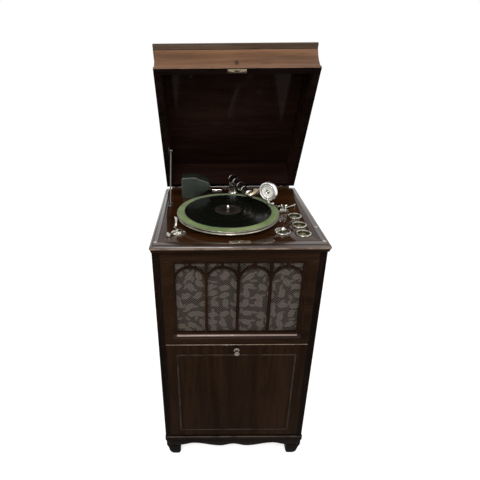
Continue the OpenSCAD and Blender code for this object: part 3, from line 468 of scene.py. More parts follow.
@dataclass(frozen=True)
class Brocade:
    """Woven leaf brocade over a net with small dark holes."""

    name: str = "brocade"
    leaf: Colour = (0.078, 0.060, 0.051)
    faded: Colour = (0.072, 0.062, 0.047)
    net: Colour = (0.064, 0.049, 0.039)
    hole: Colour = (0.0020, 0.0013, 0.0008)
    line: Colour = (0.026, 0.020, 0.017)
    hole_pitch: float = 0.0056
    large_leaf: tuple[float, float, float, float] = (0.0330, 0.4, 0.32, 0.50)
    small_leaf: tuple[float, float, float, float] = (0.0270, 3.7, 0.18, 0.44)

    def leaves(self, s: NodeSheet, size: float, seed: float, width: float,
               half: float) -> tuple[Socket, Socket]:
        """Scatters one layer of bent leaves over the cloth.

        Args:
            s: the material's sheet.
            size: the spacing of the leaves in metres.
            seed: the layer's shift.
            width: half a leaf's width, as a share of the spacing.
            half: half a leaf's length, as a share of the spacing.

        Returns:
            The leaves' shape and their veins with the outline.
        """
        k = 1.0 / size
        plane = s.mapping((k, k, k), (math.radians(90.0), 0.0, 0.0), (seed, 0.7 * seed, 0.0))
        cells = s.node("TexVoronoi")
        cells.voronoi_dimensions = "2D"
        for key, value in (("Scale", 1.0), ("Randomness", 0.55), ("Vector", plane)):
            s.feed(cells.inputs[key], value)
        away = s.node("VectorMath")
        away.operation = "SUBTRACT"
        s.link(plane, away.inputs[0])
        s.link(cells.outputs["Position"], away.inputs[1])
        spin = s.node("VectorRotate", Vector=away.outputs[0])
        spin.rotation_type = "Z_AXIS"
        s.link(s.times(s.parts(cells.outputs["Color"])[0], math.tau), spin.inputs["Angle"])
        u, v, _ = s.parts(spin.outputs["Vector"])
        bent = s.plus(v, s.times(s.maths("SINE", s.times(u, 4.2)), 0.09))
        off = s.maths("ABSOLUTE", bent)
        reach = s.maths("POWER", s.maths("DIVIDE", u, half), 2.0)
        inside = s.less(s.times(s.less(1.0, reach), width), off)
        shape = s.span(inside, 0.0, 1.0, 0.0, 0.04)
        ribs = s.maths("FRACT", s.times(s.less(u, s.times(off, 0.9)), 5.0))
        side_vein = s.maths("LESS_THAN", s.maths("ABSOLUTE", s.less(ribs, 0.5)), 0.13)
        rib = s.maths("MAXIMUM", s.span(off, 1.0, 0.0, 0.015, 0.04), s.times(side_vein, 0.5))
        rim = s.span(inside, 1.0, 0.0, 0.03, 0.07)
        return shape, s.maths("MAXIMUM", rib, s.times(rim, 0.8))

    def build(self) -> Finish:
        """Lays two layers of leaves over the net.

        Returns:
            The node material.
        """
        s = NodeSheet(self.name)
        n = math.pi * math.sqrt(2.0) / self.hole_pitch
        x, _, z = s.parts(s.mapping((n, 1.0, n)))
        holes = s.span(s.times(s.maths("SINE", x), s.maths("SINE", z)), 0.0, 1.0, -0.22, 0.0)
        ground = s.mix(holes, self.net, self.hole)
        worn = s.noise(s.mapping(), 9.0, 3.0)
        lit = s.mix(s.span(worn, 0.0, 1.0, 0.42, 0.58), self.leaf, self.faded)
        shape_b, vein_b = self.leaves(s, *self.small_leaf)
        shape_a, vein_a = self.leaves(s, *self.large_leaf)
        under = s.mix(shape_b, ground, s.mix(s.times(vein_b, 0.6), lit, self.line))
        face = s.mix(shape_a, under, s.mix(s.times(vein_a, 0.65), lit, self.line))
        s.colour(face)
        s.rough(worn, 0.78, 0.92)
        s.set(Sheen_Weight=0.08, Specular_IOR_Level=0.10)
        weave = s.noise(s.mapping(), 900.0, 2.0)
        relief = s.less(s.maths("MAXIMUM", shape_a, shape_b), s.times(holes, 0.6))
        s.bump(s.plus(relief, s.times(weave, 0.4)), 0.0005, 0.6)
        return s.material


@dataclass(frozen=True)
class Paper:
    """The record's plain label."""

    middle: Point
    name: str = "label_paper"
    radius: float = 0.040

    def build(self) -> Finish:
        """Lays dark glazed paper with plain rings.

        Returns:
            The node material.
        """
        s = NodeSheet(self.name)
        rings = s.ramp(s.times(s.radius(self.middle), 1.0 / self.radius), [
            (0.0, (0.010, 0.0075, 0.0065)), (0.60, (0.011, 0.0080, 0.0070)), (0.66, (0.026, 0.017, 0.013)),
            (0.71, (0.011, 0.0080, 0.0070)), (0.93, (0.028, 0.021, 0.018))])
        s.colour(rings)
        grain = s.noise(s.mapping(), 300.0, 3.0)
        s.rough(grain, 0.35, 0.5)
        s.set(Coat_Weight=0.3, Coat_Roughness=0.14, Specular_IOR_Level=0.2)
        s.bump(grain, 0.00004, 0.4)
        return s.material


@dataclass(frozen=True)
class Mica:
    """The sound box's pearly diaphragm."""

    name: str = "mica"

    def build(self) -> Finish:
        """Lays milky flakes under a bright glaze.

        Returns:
            The node material.
        """
        s = NodeSheet(self.name)
        flakes = s.noise(s.mapping(), 70.0, 4.0, 0.8)
        s.colour(s.ramp(flakes, [(0.35, (0.54, 0.53, 0.47)), (0.62, (0.76, 0.755, 0.69))]))
        s.rough(flakes, 0.18, 0.34)
        s.set(Coat_Weight=0.6, Coat_Roughness=0.06)
        s.bump(flakes, 0.00008, 0.3)
        return s.material


@dataclass(frozen=True)
class Rubber:
    """Aged rubber."""

    name: str
    dark: Colour
    light: Colour

    def build(self) -> Finish:
        """Lays dusty rubber.

        Returns:
            The node material.
        """
        s = NodeSheet(self.name)
        dust = s.noise(s.mapping(), 120.0, 3.0)
        s.colour(s.ramp(dust, [(0.4, self.dark), (0.7, self.light)]))
        s.rough(dust, 0.65, 0.85)
        s.bump(dust, 0.0001, 0.5)
        return s.material


class Finishes:
    """Every material of the cabinet, each built once."""

    def __init__(self) -> None:
        """Mixes every finish."""
        middle = tuple(middle_of("record_label"))
        across, upright = Grain.ACROSS, Grain.UPRIGHT
        polished, worn, dull = Brush.POLISHED, Brush.WORN, Brush.DULL
        self.wood_across = PolishedWood("mahogany_across", across).build()
        self.wood_upright = PolishedWood("mahogany_upright", upright).build()
        self.deck_wood = PolishedWood(
            "mahogany_deck", across, (0.010, 0.0030, 0.0008), (0.023, 0.0076, 0.0019),
            (0.041, 0.0145, 0.0042), 0.45, 0.05, 0.02).build()
        self.deck_rail_wood = PolishedWood(
            "mahogany_deck_rails", across, (0.011, 0.0038, 0.0013), (0.024, 0.0090, 0.0032),
            (0.041, 0.0165, 0.0065), 0.8, 0.10, 0.40).build()
        # Painted light: a little lighter than the frame's wood, for the sill's front faces that tilt up
        # towards the light.
        self.sill_painted_light = PolishedWood(
            "mahogany_sill_painted_light", across, (0.010, 0.0042, 0.0024), (0.017, 0.0075, 0.0046),
            (0.028, 0.0135, 0.0090), 0.10, 0.08, 0.02).build()
        # Painted highlight: far lighter than mahogany, standing in for the highlight along the sill bead.
        self.sill_bead_painted_highlight = PolishedWood(
            "mahogany_sill_bead_painted_highlight", across, (0.145, 0.100, 0.086), (0.240, 0.175, 0.150),
            (0.350, 0.270, 0.235), 0.5, 0.08, 0.1).build()
        # Painted light: about ten times lighter than the cabinet's wood, for the lid's front that faces up to
        # the light when the lid stands open.
        self.lid_front_painted_light = PolishedWood(
            "mahogany_lid_painted_light", across, (0.070, 0.032, 0.014), (0.122, 0.057, 0.026),
            (0.180, 0.088, 0.043), 0.12, 0.14, 0.04).build()
        # Painted light: lighter than the cabinet's wood, for the top board and the band under it, which face
        # the light when the lid stands open.
        self.lid_top_painted_light = PolishedWood(
            "mahogany_lid_top_painted_light", across, (0.024, 0.013, 0.0070), (0.048, 0.026, 0.0135),
            (0.076, 0.043, 0.024), 0.1, 0.14, 0.04).build()
        # Painted shade: near-black wood for the rim that faces down with the lid open, and for the groove.
        self.rim_painted_shade = PolishedWood(
            "mahogany_rim_painted_shade", across, (0.0025, 0.0014, 0.0012), (0.0050, 0.0028, 0.0024),
            (0.0085, 0.0050, 0.0043), 0.0, 0.14, 0.0).build()
        self.lining = PolishedWood(
            "mahogany_lining", across, (0.0056, 0.0024, 0.0016), (0.0115, 0.0052, 0.0036),
            (0.0200, 0.0098, 0.0068), 0.09, 0.09, 0.0).build()
        self.post_wood = PolishedWood(
            "mahogany_posts", upright, (0.0018, 0.0009, 0.0006), (0.0036, 0.0018, 0.0011),
            (0.0062, 0.0032, 0.0018), 0.02, 0.14, 0.01).build()
        self.base_wood = PolishedWood(
            "mahogany_base", across, (0.0027, 0.0014, 0.0008), (0.0054, 0.0031, 0.0020),
            (0.0092, 0.0057, 0.0039), 0.02, 0.14, 0.01).build()
        self.edge = EdgeWearAndHighlight(
            "worn_edge", (0.030, 0.017, 0.011), (0.0080, 0.0038, 0.0020), (0.42, 0.62), 0.06).build()
        # Painted highlight: light bands on the deck's bullnose, the lid front's lower arris and the door's
        # top arris.
        self.rubbed_highlight = EdgeWearAndHighlight(
            "rubbed_edge_highlight", (0.200, 0.140, 0.098), (0.085, 0.053, 0.036), (0.36, 0.56)).build()
        # Edge wear and painted highlight: lighter arrises of the lid top and the door bead, and the base
        # moulding's upper faces.
        self.dull_edge_and_highlight = EdgeWearAndHighlight(
            "dull_edge_and_highlight", (0.060, 0.043, 0.034), (0.026, 0.018, 0.013), (0.36, 0.56), 0.1).build()
        self.bare_wood = PlainWood("pine_inside", upright).build()
        self.nickel = Metal("nickel", (0.60, 0.58, 0.53), (0.16, 0.14, 0.11), polished, 0.55).build()
        self.rim_nickel = Metal("nickel_rim", (0.265, 0.250, 0.206), (0.13, 0.11, 0.08), worn, 0.5).build()
        self.worn_nickel = Metal("nickel_worn", (0.50, 0.42, 0.30), (0.20, 0.13, 0.07), worn, 0.6).build()
        self.bright_nickel = Metal("nickel_bright", (0.88, 0.87, 0.84), (0.55, 0.50, 0.42), worn, 0.2).build()
        self.cup_nickel = Metal("nickel_cups", (0.46, 0.44, 0.37), (0.20, 0.18, 0.13), polished, 0.6).build()
        self.knob_nickel = Metal(
            "nickel_knob", (0.16, 0.135, 0.115), (0.065, 0.050, 0.042), polished, 0.5).build()
        self.bowl = Metal("nickel_bowl", (0.105, 0.095, 0.055), (0.040, 0.035, 0.020), dull, 0.7).build()
        self.dull_steel = Metal("steel_dull", (0.085, 0.083, 0.076), (0.040, 0.034, 0.028), dull, 0.5).build()
        self.brass = Metal("brass_aged", (0.052, 0.035, 0.021), (0.024, 0.015, 0.010), dull, 0.8).build()
        self.lock_brass = Metal("brass_lock", (0.27, 0.21, 0.15), (0.11, 0.075, 0.05), worn, 0.6).build()
        self.steel = Metal("steel", (0.50, 0.51, 0.52), (0.20, 0.17, 0.14), dull).build()
        self.enamel = Enamel("enamel_green_black", (0.0085, 0.0115, 0.0080)).build()
        self.iron = Enamel("enamel_black", (0.008, 0.008, 0.008), 0.45).build()
        self.felt = Felt().build()
        self.shellac = Shellac(middle).build()
        self.brocade = Brocade().build()
        self.paper = Paper(middle).build()
        self.mica = Mica().build()
        self.rubber = Rubber("rubber_pale", (0.26, 0.25, 0.22), (0.50, 0.48, 0.42)).build()
        self.gasket = Rubber("rubber_gasket", (0.24, 0.23, 0.20), (0.36, 0.35, 0.31)).build()


def clear_selection() -> None:
    """Deselects every object."""
    if bpy.context.mode != "OBJECT":
        bpy.ops.object.mode_set(mode="OBJECT")
    for item in bpy.context.view_layer.objects:
        item.select_set(False)


def activate(piece: Piece) -> Piece:
    """Makes the piece the only one selected and the active one.

    Args:
        piece: the piece.

    Returns:
        The piece.
    """
    clear_selection()
    piece.select_set(True)
    bpy.context.view_layer.objects.active = piece
    return piece


@contextmanager
def editing(piece: Piece, action: str = "SELECT") -> Iterator[None]:
    """Opens the piece for editing.

    Args:
        piece: the piece.
        action: SELECT to start with all of it selected, DESELECT with none.

    Returns:
        A context that closes the piece again.
    """
    activate(piece)
    bpy.ops.object.mode_set(mode="EDIT")
    bpy.ops.mesh.select_all(action=action)
    yield
    bpy.ops.object.mode_set(mode="OBJECT")


def added(name: str) -> Piece:
    """Names the primitive that was added last and settles its place in its mesh.

    Args:
        name: its name.

    Returns:
        The piece.
    """
    piece = bpy.context.active_object
    piece.name = name
    piece.data.name = name
    bpy.ops.object.transform_apply(location=True, rotation=True, scale=True)
    return piece


def put_modifier(piece: Piece, kind: str, **values: object) -> None:
    """Adds a modifier and applies it.

    Args:
        piece: the object.
        kind: the modifier's type.
        **values: its settings.
    """
    activate(piece)
    step = piece.modifiers.new(kind.lower(), kind)
    for key, value in values.items():
        setattr(step, key, value)
    bpy.ops.object.modifier_apply(modifier=step.name)


def smooth(piece: Piece, angle: float = 35.0) -> Piece:
    """Shades the piece smooth.

    Args:
        piece: the piece.
        angle: the least angle of a crease, in degrees.

    Returns:
        The piece.
    """
    activate(piece)
    bpy.ops.object.shade_smooth_by_angle(angle=math.radians(angle))
    return piece


def dress(piece: Piece, *materials: Finish) -> Piece:
    """Gives the piece its materials.

    Args:
        piece: the piece.
        *materials: the materials in order.

    Returns:
        The piece.
    """
    piece.data.materials.clear()
    for material in materials:
        piece.data.materials.append(material)
    return piece


def paint(piece: Piece, material: Finish, test: Callable[[Face], bool]) -> None:
    """Gives a material to some of the faces.

    Args:
        piece: the piece.
        material: the material.
        test: tells whether a face takes it.
    """
    piece.data.materials.append(material)
    slot = len(piece.data.materials) - 1
    for face in piece.data.polygons:
        if test(face):
            face.material_index = slot


def settle(piece: Piece, body: str) -> Piece:
    """Makes the piece ride on its body and reports it.

    Args:
        piece: the piece.
        body: the body.

    Returns:
        The piece.
    """
    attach(piece, body)
    LOG.info("%s rides on %s, %d faces", piece.name, body, len(piece.data.polygons))
    return piece


def middle_of(node: str) -> Vector:
    """Returns the middle of a solid's box."""
    lo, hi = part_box(node)
    return (lo + hi) / 2


def top_of(node: str) -> float:
    """Returns the height of a solid's top."""
    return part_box(node)[1].z


def joint_at(name: str) -> Vector:
    """Returns the place of a joint at rest."""
    return Vector(next(joint["pos_m"] for joint in frame["joints"] if joint["name"] == name))


def face_outwards(piece: Piece) -> None:
    """Turns the faces of the piece outwards."""
    with editing(piece):
        bpy.ops.mesh.normals_make_consistent(inside=False)


def copied(node: str, name: str) -> Piece:
    """Copies a solid's mesh, merges its points and joins its flat faces.

    Args:
        node: the solid's name.
        name: the copy's name.

    Returns:
        The copy.
    """
    piece = bpy.data.objects.new(name, frame["nodes"][node].data.copy())
    bpy.context.scene.collection.objects.link(piece)
    with editing(piece):
        bpy.ops.mesh.remove_doubles(threshold=0.00001)
        bpy.ops.mesh.dissolve_limited(angle_limit=math.radians(1.0))
    return piece


def rounded(piece: Piece, finish: Finish, edge: Finish, width: float, angle: float = 40.0) -> Piece:
    """Rounds the arrises of a piece and dresses it.

    Args:
        piece: the piece.
        finish: the material of its faces.
        edge: the material of the rounded arrises.
        width: the rounding in millimetres.
        angle: the least angle of an arris that is rounded, in degrees.

    Returns:
        The piece.
    """
    dress(piece, finish, edge)
    for face in piece.data.polygons:
        face.material_index = 0
    put_modifier(piece, "BEVEL", width=width * MM, segments=2, limit_method="ANGLE",
                 angle_limit=math.radians(angle), material=1, use_clamp_overlap=True, harden_normals=False)
    return smooth(piece)


def softened(node: str, body: str, finish: Finish, width: float,
             edge: Finish | None = None) -> Piece:
    """Copies a solid, rounds its arrises and shows the copy in its place.

    Args:
        node: the solid's name.
        body: the body that it rides on.
        finish: the material of its faces.
        width: the rounding in millimetres.
        edge: the material of the rounded arrises, where it isn't that of the faces.

    Returns:
        The rounded piece.
    """
    piece = rounded(copied(node, node + "_finished"), finish, edge or finish, width)
    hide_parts(node)
    return settle(piece, body)


def soften_all(body: str, pieces: Iterable[tuple[str, Finish, float]]) -> None:
    """Softens the named solids of one body, each with its finish and rounding."""
    for node, finish, width in pieces:
        softened(node, body, finish, width)


def turned(name: str, profile: Profile, middle: Vector, axis: Vector, steps: int = 64) -> Piece:
    """Turns a profile on a lathe by extruding and spinning its edge.

    Args:
        name: the piece's name.
        profile: radius and height of each point, in millimetres.
        middle: the point that height 0 stands on, in metres.
        axis: the way that height grows.
        steps: the number of steps round.

    Returns:
        The turned piece, closed and with its faces outwards.
    """
    clear_selection()
    bpy.ops.mesh.primitive_plane_add(size=0.001)
    piece = bpy.context.active_object
    piece.name = name
    piece.data.name = name
    with editing(piece):
        bpy.ops.mesh.merge(type="CENTER")
        mesh = bmesh.from_edit_mesh(piece.data)
        mesh.verts.ensure_lookup_table()
        mesh.verts[0].co = (profile[0][0] * MM, 0.0, profile[0][1] * MM)
        bmesh.update_edit_mesh(piece.data)
        for (r0, h0), (r1, h1) in zip(profile, profile[1:]):
            step = ((r1 - r0) * MM, 0.0, (h1 - h0) * MM)
            bpy.ops.mesh.extrude_region_move(TRANSFORM_OT_translate={"value": step})
        bpy.ops.mesh.select_all(action="SELECT")
        bpy.ops.mesh.spin(steps=steps, angle=math.tau, center=(0, 0, 0), axis=(0, 0, 1), use_auto_merge=True)
        bpy.ops.mesh.select_all(action="SELECT")
        bpy.ops.mesh.remove_doubles(threshold=0.000004)
        bpy.ops.mesh.normals_make_consistent(inside=False)
    turn = axis.normalized().to_track_quat("Z", "Y").to_matrix().to_4x4()
    piece.data.transform(Matrix.Translation(middle) @ turn)
    return smooth(piece, 38.0)


def repeated(pattern: Piece, name: str, places: Iterable[Matrix]) -> Piece:
    """Copies a pattern with its own mesh to each place and joins the copies.

    Args:
        pattern: the piece that is copied, standing at the origin.
        name: the name of the joined piece.
        places: the place and turn of each copy.

    Returns:
        The joined piece.
    """
    copies = []
    for place in places:
        copy = bpy.data.objects.new(name, pattern.data.copy())
        copy.data.transform(place)
        bpy.context.scene.collection.objects.link(copy)
        copies.append(copy)
    activate(copies[0])
    for copy in copies[1:]:
        copy.select_set(True)
    if len(copies) > 1:
        bpy.ops.object.join()
    copies[0].name = name
    return copies[0]


def arc(cx: float, cy: float, r: float, start: float, end: float, n: int = 6) -> list[tuple[float, float]]:
    """Returns points of a round, with angles in degrees."""
    return [(cx + r * math.cos(math.radians(start + (end - start) * i / n)),
             cy + r * math.sin(math.radians(start + (end - start) * i / n))) for i in range(n + 1)]


@dataclass
class Carcass:
    """The case: panels, posts, rails, moulded deck frame, grille and feet."""

    finishes: Finishes
    body: str = "cabinet"
    board_round: float = 1.0
    rail_round: float = 0.8
    crank_way: float = 0.012
    drill_length: float = 0.08
    base_moulding: float = 0.007
    nose_drop: float = 0.0115
    nose_height: float = 0.0065
    bead_radius: float = 3.2
    bead_inset: float = 0.0015
    bead_ahead: float = 0.0018
    bead_below: float = 0.0062
    foot_round_top: float = 0.044
    foot_blend: float = 0.012
    foot_voxel: float = 1.8
    foot_wear: float = 0.7
    foot_passes: int = 45
    threads: tuple[int, int] = (88, 58)
    cloth_gap: float = 0.0007
    cloth_thickness: float = 0.0004

    def upright_boards(self) -> None:
        """Dresses the boards whose grain stands upright."""
        f = self.finishes
        for node in ("left_side", "back_panel"):
            softened(node, self.body, f.wood_upright, self.board_round, f.edge)
        softened("front_posts", self.body, f.post_wood, self.board_round, f.edge)
        softened("grille_fret", self.body, f.wood_upright, 0.9, f.edge)

    def right_side(self) -> None:
        """Mirrors the left side's board and bores the crank's way through it."""
        piece = copied("left_side", "right_side_finished")
        piece.data.transform(Matrix.Scale(-1.0, 4, ACROSS))
        face_outwards(piece)
        rounded(piece, self.finishes.wood_upright, self.finishes.edge, self.board_round)
        clear_selection()
        bpy.ops.mesh.primitive_cylinder_add(
            vertices=48, radius=self.crank_way, depth=self.drill_length,
            location=middle_of("winding_escutcheon"), rotation=(0.0, math.radians(90.0), 0.0))
        drill = bpy.context.active_object
        put_modifier(piece, "BOOLEAN", operation="DIFFERENCE", object=drill, solver="EXACT")
        bpy.data.objects.remove(drill, do_unlink=True)
        smooth(piece)
        put_modifier(piece, "WEIGHTED_NORMAL", keep_sharp=True)
        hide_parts("right_side")
        settle(piece, self.body)

    def cross_boards(self) -> None:
        """Dresses the rails, the apron and the deck, with painted highlights on their mouldings and painted
        shade under the deck's nose.
        """
        f = self.finishes
        for node in ("frieze_rail", "mid_rail"):
            softened(node, self.body, f.wood_across, self.rail_round, f.edge)
        softened("front_apron", self.body, f.base_wood, self.rail_round, f.edge)
        base = softened("base_rail", self.body, f.base_wood, 0.5, f.edge)
        # Painted highlight: the upper faces of the base moulding take the lighter edge finish.
        upper = top_of("base_rail") - self.base_moulding
        paint(base, f.dull_edge_and_highlight, lambda face: face.normal.z > 0.6 and face.normal.y < -0.05
              and face.center.z > upper)
        deck = softened("deck_frame", self.body, f.deck_rail_wood, 0.6, f.edge)
        nose = top_of("deck_frame") - self.nose_drop
        # Painted shade: the front faces under the deck's nose take the darker cabinet wood.
        paint(deck, f.wood_across, lambda face: face.normal.y < -0.3 and face.center.z <= nose)
        # Painted highlight: a light band along the middle of the deck's bullnose.
        paint(deck, f.rubbed_highlight, lambda face: face.normal.y < -0.55
              and nose < face.center.z < nose + self.nose_height)
        softened("motor_board", self.body, f.deck_wood, 0.4, f.edge)
        grille = softened("grille_frame", self.body, f.wood_across, 1.5, f.edge)
        # Painted light: the sill's front faces take the slightly lighter sill wood.
        paint(grille, f.sill_painted_light, lambda face: face.center.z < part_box("grille_fret")[0].z - 0.001
              and face.normal.y < -0.3)

    def sill_bead(self) -> None:
        """Turns the rounded bead along the sill under the grille."""
        lo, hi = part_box("grille_fret")
        r, half = self.bead_radius, (hi.x - self.bead_inset) / MM
        profile = [(0.0, -half), (r - 0.6, -half), (r, 0.8 - half),
                   (r, half - 0.8), (r - 0.6, half), (0.0, half)]
        middle = Vector((0.0, lo.y - self.bead_ahead, lo.z - self.bead_below))
        bead = turned("sill_bead", profile, middle, ACROSS, 32)
        # Painted highlight: the bead is dressed in very light wood, for the highlight along its round.
        dress(bead, self.finishes.sill_bead_painted_highlight)
        settle(bead, self.body)

    def foot_blocks(self) -> None:
        """Rounds the lower part of the feet into worn clubs and dresses them."""
        feet = copied("feet", "feet_finished")
        put_modifier(feet, "REMESH", mode="VOXEL", voxel_size=self.foot_voxel * MM)
        low = feet.vertex_groups.new(name="low")
        for vertex in feet.data.vertices:
            share = (self.foot_round_top - vertex.co.z) / self.foot_blend
            low.add([vertex.index], min(1.0, max(0.0, share)), "REPLACE")
        put_modifier(feet, "SMOOTH", factor=self.foot_wear, iterations=self.foot_passes, vertex_group="low")
        smooth(feet, 50.0)
        dress(feet, self.finishes.base_wood)
        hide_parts("feet")
        settle(feet, self.body)

    def inner_boards(self) -> None:
        """Gives the unseen boards and castings their plain materials."""
        f = self.finishes
        for node in ("bottom_board", "shelf_board", "record_dividers", "horn"):
            dress(frame["nodes"][node], f.bare_wood)
        dress(frame["nodes"]["horn_elbow"], f.iron)

    def cloth(self) -> None:
        """Stretches the brocade behind the fretwork as a finely divided sheet that bellies slightly."""
        lo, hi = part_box("grille_cloth")
        width, height, middle = hi.x - lo.x, hi.z - lo.z, (lo.z + hi.z) / 2.0
        across, up = self.threads
        clear_selection()
        bpy.ops.mesh.primitive_grid_add(x_subdivisions=across, y_subdivisions=up, size=1.0)
        piece = added("grille_brocade")
        for vertex in piece.data.vertices:
            u, v = vertex.co.x * 2.0, vertex.co.y * 2.0
            belly = 0.00025 * math.sin(9.0 * u + 2.0 * v) + 0.00015 * math.sin(17.0 * v - 3.0 * u)
            vertex.co = (u * width / 2.0, lo.y + self.cloth_gap + belly, middle + v * height / 2.0)
        put_modifier(piece, "SOLIDIFY", thickness=self.cloth_thickness, offset=0.0)
        smooth(piece, 60.0)
        dress(piece, self.finishes.brocade)
        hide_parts("grille_cloth")
        settle(piece, self.body)

    def build(self) -> None:
        """Builds and dresses the whole case."""
        self.upright_boards()
        self.right_side()
        self.foot_blocks()
        self.cross_boards()
        self.sill_bead()
        self.inner_boards()
        self.cloth()


@dataclass
class Lid:
    """The coved lid with its lining, lock, hinges and stay."""

    finishes: Finishes
    body: str = "lid"
    open_angle: float = 63.6
    half_width: float = 0.22825
    wall: float = 0.018
    back_wall: float = 0.014
    slack: float = 0.0006
    rim_height: float = 0.004
    rim_reach: float = 0.03
    arris: float = 0.004
    front_depth: float = 0.449
    wall_round: float = 0.9
    groove_height: float = 0.0925
    groove_width: float = 0.0046
    groove_depth: float = 0.0030
    groove_slack: float = 0.0002
    barrel_half: float = 150.4
    barrel_radius: float = 3.3
    knuckle: float = 12.0

    def closed(self, face: Face) -> tuple[Vector, Vector]:
        """Returns a face's place from the hinge line and its normal, both with the lid shut."""
        turn = Matrix.Rotation(math.radians(self.open_angle), 3, "X")
        return turn @ (face.center - joint_at("lid_hinge")), turn @ face.normal

    def is_inside(self, face: Face) -> bool:
        """Tells whether a face is part of the lining.

        Args:
            face: the face.

        Returns:
            True for a face of the lining.
        """
        place, _ = self.closed(face)
        room = self.half_width - self.wall + self.slack
        deep = self.wall - self.front_depth - self.slack < place.y < self.slack - self.back_wall
        return abs(place.x) < room and deep and place.z > self.rim_height

    def is_side(self, face: Face) -> bool:
        """Tells whether a face is part of the outer sides or the back."""
        _, normal = self.closed(face)
        return not self.is_inside(face) and (abs(normal.x) > 0.4 or normal.y > 0.4)

    def is_rim(self, face: Face) -> bool:
        """Tells whether a face is part of the rim that meets the deck."""
        place, normal = self.closed(face)
        return not self.is_inside(face) and normal.z < -0.7 and place.z < self.rim_reach

    def grooved_walls(self) -> Piece:
        """Runs a small groove round the walls under the top board; its faces are painted near black, painted
        shade in the groove.

        Returns:
            The walls.
        """
        walls = copied("lid_walls", "lid_walls_finished")
        hinge = joint_at("lid_hinge")
        opened = Matrix.Rotation(-math.radians(self.open_angle), 3, "X")
        for height in (self.groove_height, self.groove_height + self.groove_width):
            with editing(walls):
                bpy.ops.mesh.bisect(plane_co=hinge + opened @ (height * UP), plane_no=opened @ UP)
        with editing(walls, "DESELECT"):
            bpy.ops.mesh.select_mode(type="FACE")
        for face in walls.data.polygons:
            face.select = self.in_groove(face)
        bpy.ops.object.mode_set(mode="EDIT")
        bpy.ops.mesh.extrude_region_shrink_fatten(TRANSFORM_OT_shrink_fatten={"value": -self.groove_depth})
        bpy.ops.mesh.select_mode(type="VERT")
        bpy.ops.object.mode_set(mode="OBJECT")
        # Painted light: the walls start in the light lid-front wood, which the later paints leave only on the
        # front below the groove.
        rounded(walls, self.finishes.lid_front_painted_light, self.finishes.edge, self.wall_round)
        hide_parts("lid_walls")
        settle(walls, self.body)
        # Painted shade: the groove's faces take the near-black rim wood.
        paint(walls, self.finishes.rim_painted_shade, self.in_groove)
        return walls

    def in_groove(self, face: Face) -> bool:
        """Tells whether a face lies in the groove's band outside the lid.

        Args:
            face: the face.

        Returns:
            True for a face in the band.
        """
        place, _ = self.closed(face)
        return (not self.is_inside(face) and self.groove_height - self.groove_slack < place.z
                < self.groove_height + self.groove_width + self.groove_slack)

    def box(self) -> None:
        """Dresses the walls and the top board, each face by its place and the way it faces: painted light on
        the front and the top board, painted shade on the rim, painted highlight on the front's lower arris.
        """
        f = self.finishes
        walls = self.grooved_walls()
        # Painted light: the top board takes the lighter top-board wood; its rounded arrises take the edge
        # finish with edge wear and painted highlight.
        top = softened("lid_top", self.body, f.lid_top_painted_light, 0.7, f.dull_edge_and_highlight)
        groove_top = self.groove_height + self.groove_width
        # Painted light: the wall faces above the groove take the top board's lighter wood.
        paint(walls, f.lid_top_painted_light, lambda face: self.closed(face)[0].z > groove_top)
        paint(walls, f.wood_across, self.is_side)
        # Painted shade: the faces of the rim, which face down with the lid open, take the near-black rim
        # wood.
        paint(walls, f.rim_painted_shade, self.is_rim)
        paint(walls, f.lining, self.is_inside)
        # Painted highlight: the lower arris of the lid's front takes the light edge finish.
        paint(walls, f.rubbed_highlight, self.is_front_arris)
        paint(top, f.wood_across, self.is_side)
        paint(top, f.lining, lambda face: self.is_inside(face) and self.closed(face)[1].z < -0.7)

    def is_front_arris(self, face: Face) -> bool:
        """Tells whether a face is the rounded lower arris of the lid's front."""
        place, normal = self.closed(face)
        return place.y < self.arris - self.front_depth and normal.z < -0.2 and normal.y < -0.2

    def hinge_barrel(self) -> None:
        """Turns the long jointed barrel that closes the gap between the two hinges."""
        r = self.barrel_radius
        count = int(2 * self.barrel_half / self.knuckle)
        pitch = 2 * self.barrel_half / count
        profile = [(0.0, -self.barrel_half)]
        for i in range(count):
            a = i * pitch - self.barrel_half
            profile += [(r - 0.5, a), (r, a + 0.5), (r, a + pitch - 0.5)]
        profile += [(r - 0.5, self.barrel_half), (0.0, self.barrel_half)]
        barrel = turned("hinge_barrel", profile, joint_at("lid_hinge"), ACROSS, 28)
        dress(barrel, self.finishes.brass)
        settle(barrel, self.body)

    def metalwork(self) -> None:
        """Dresses the hinges, the lock and the stay."""
        f = self.finishes
        softened("lid_hinge_leaves", self.body, f.brass, 0.25)
        lock = softened("lid_lock", self.body, f.lock_brass, 0.25)
        paint(lock, f.brass, lambda face: self.closed(face)[1].y < -0.3)
        softened("stay_bracket", self.body, f.dull_steel, 0.4, f.nickel)
        softened("stay_rod", "stay", f.dull_steel, 0.4)

    def build(self) -> None:
        """Builds and dresses the lid."""
        self.box()
        self.metalwork()
        self.hinge_barrel()


@dataclass
class Door:
    """The fall-front door with its bead and turn knob."""

    finishes: Finishes
    body: str = "door"
    arris: float = 0.003

    def build(self) -> None:
        """Builds and dresses the door."""
        f = self.finishes
        door = softened("door", self.body, f.wood_upright, 0.8, f.edge)
        arris = top_of("door") - self.arris
        # Painted highlight: the door's upper front arris takes the light edge finish.
        paint(door, f.rubbed_highlight, lambda face: face.center.z > arris and face.normal.y < -0.2
              and face.normal.z > 0.2)
        # Painted highlight: the door bead is dressed in the lighter edge finishes, which make a light line
        # round the door.
        softened("door_bead", self.body, f.edge, 0.5, f.dull_edge_and_highlight)
        softened("door_knob", "knob", f.knob_nickel, 0.3)


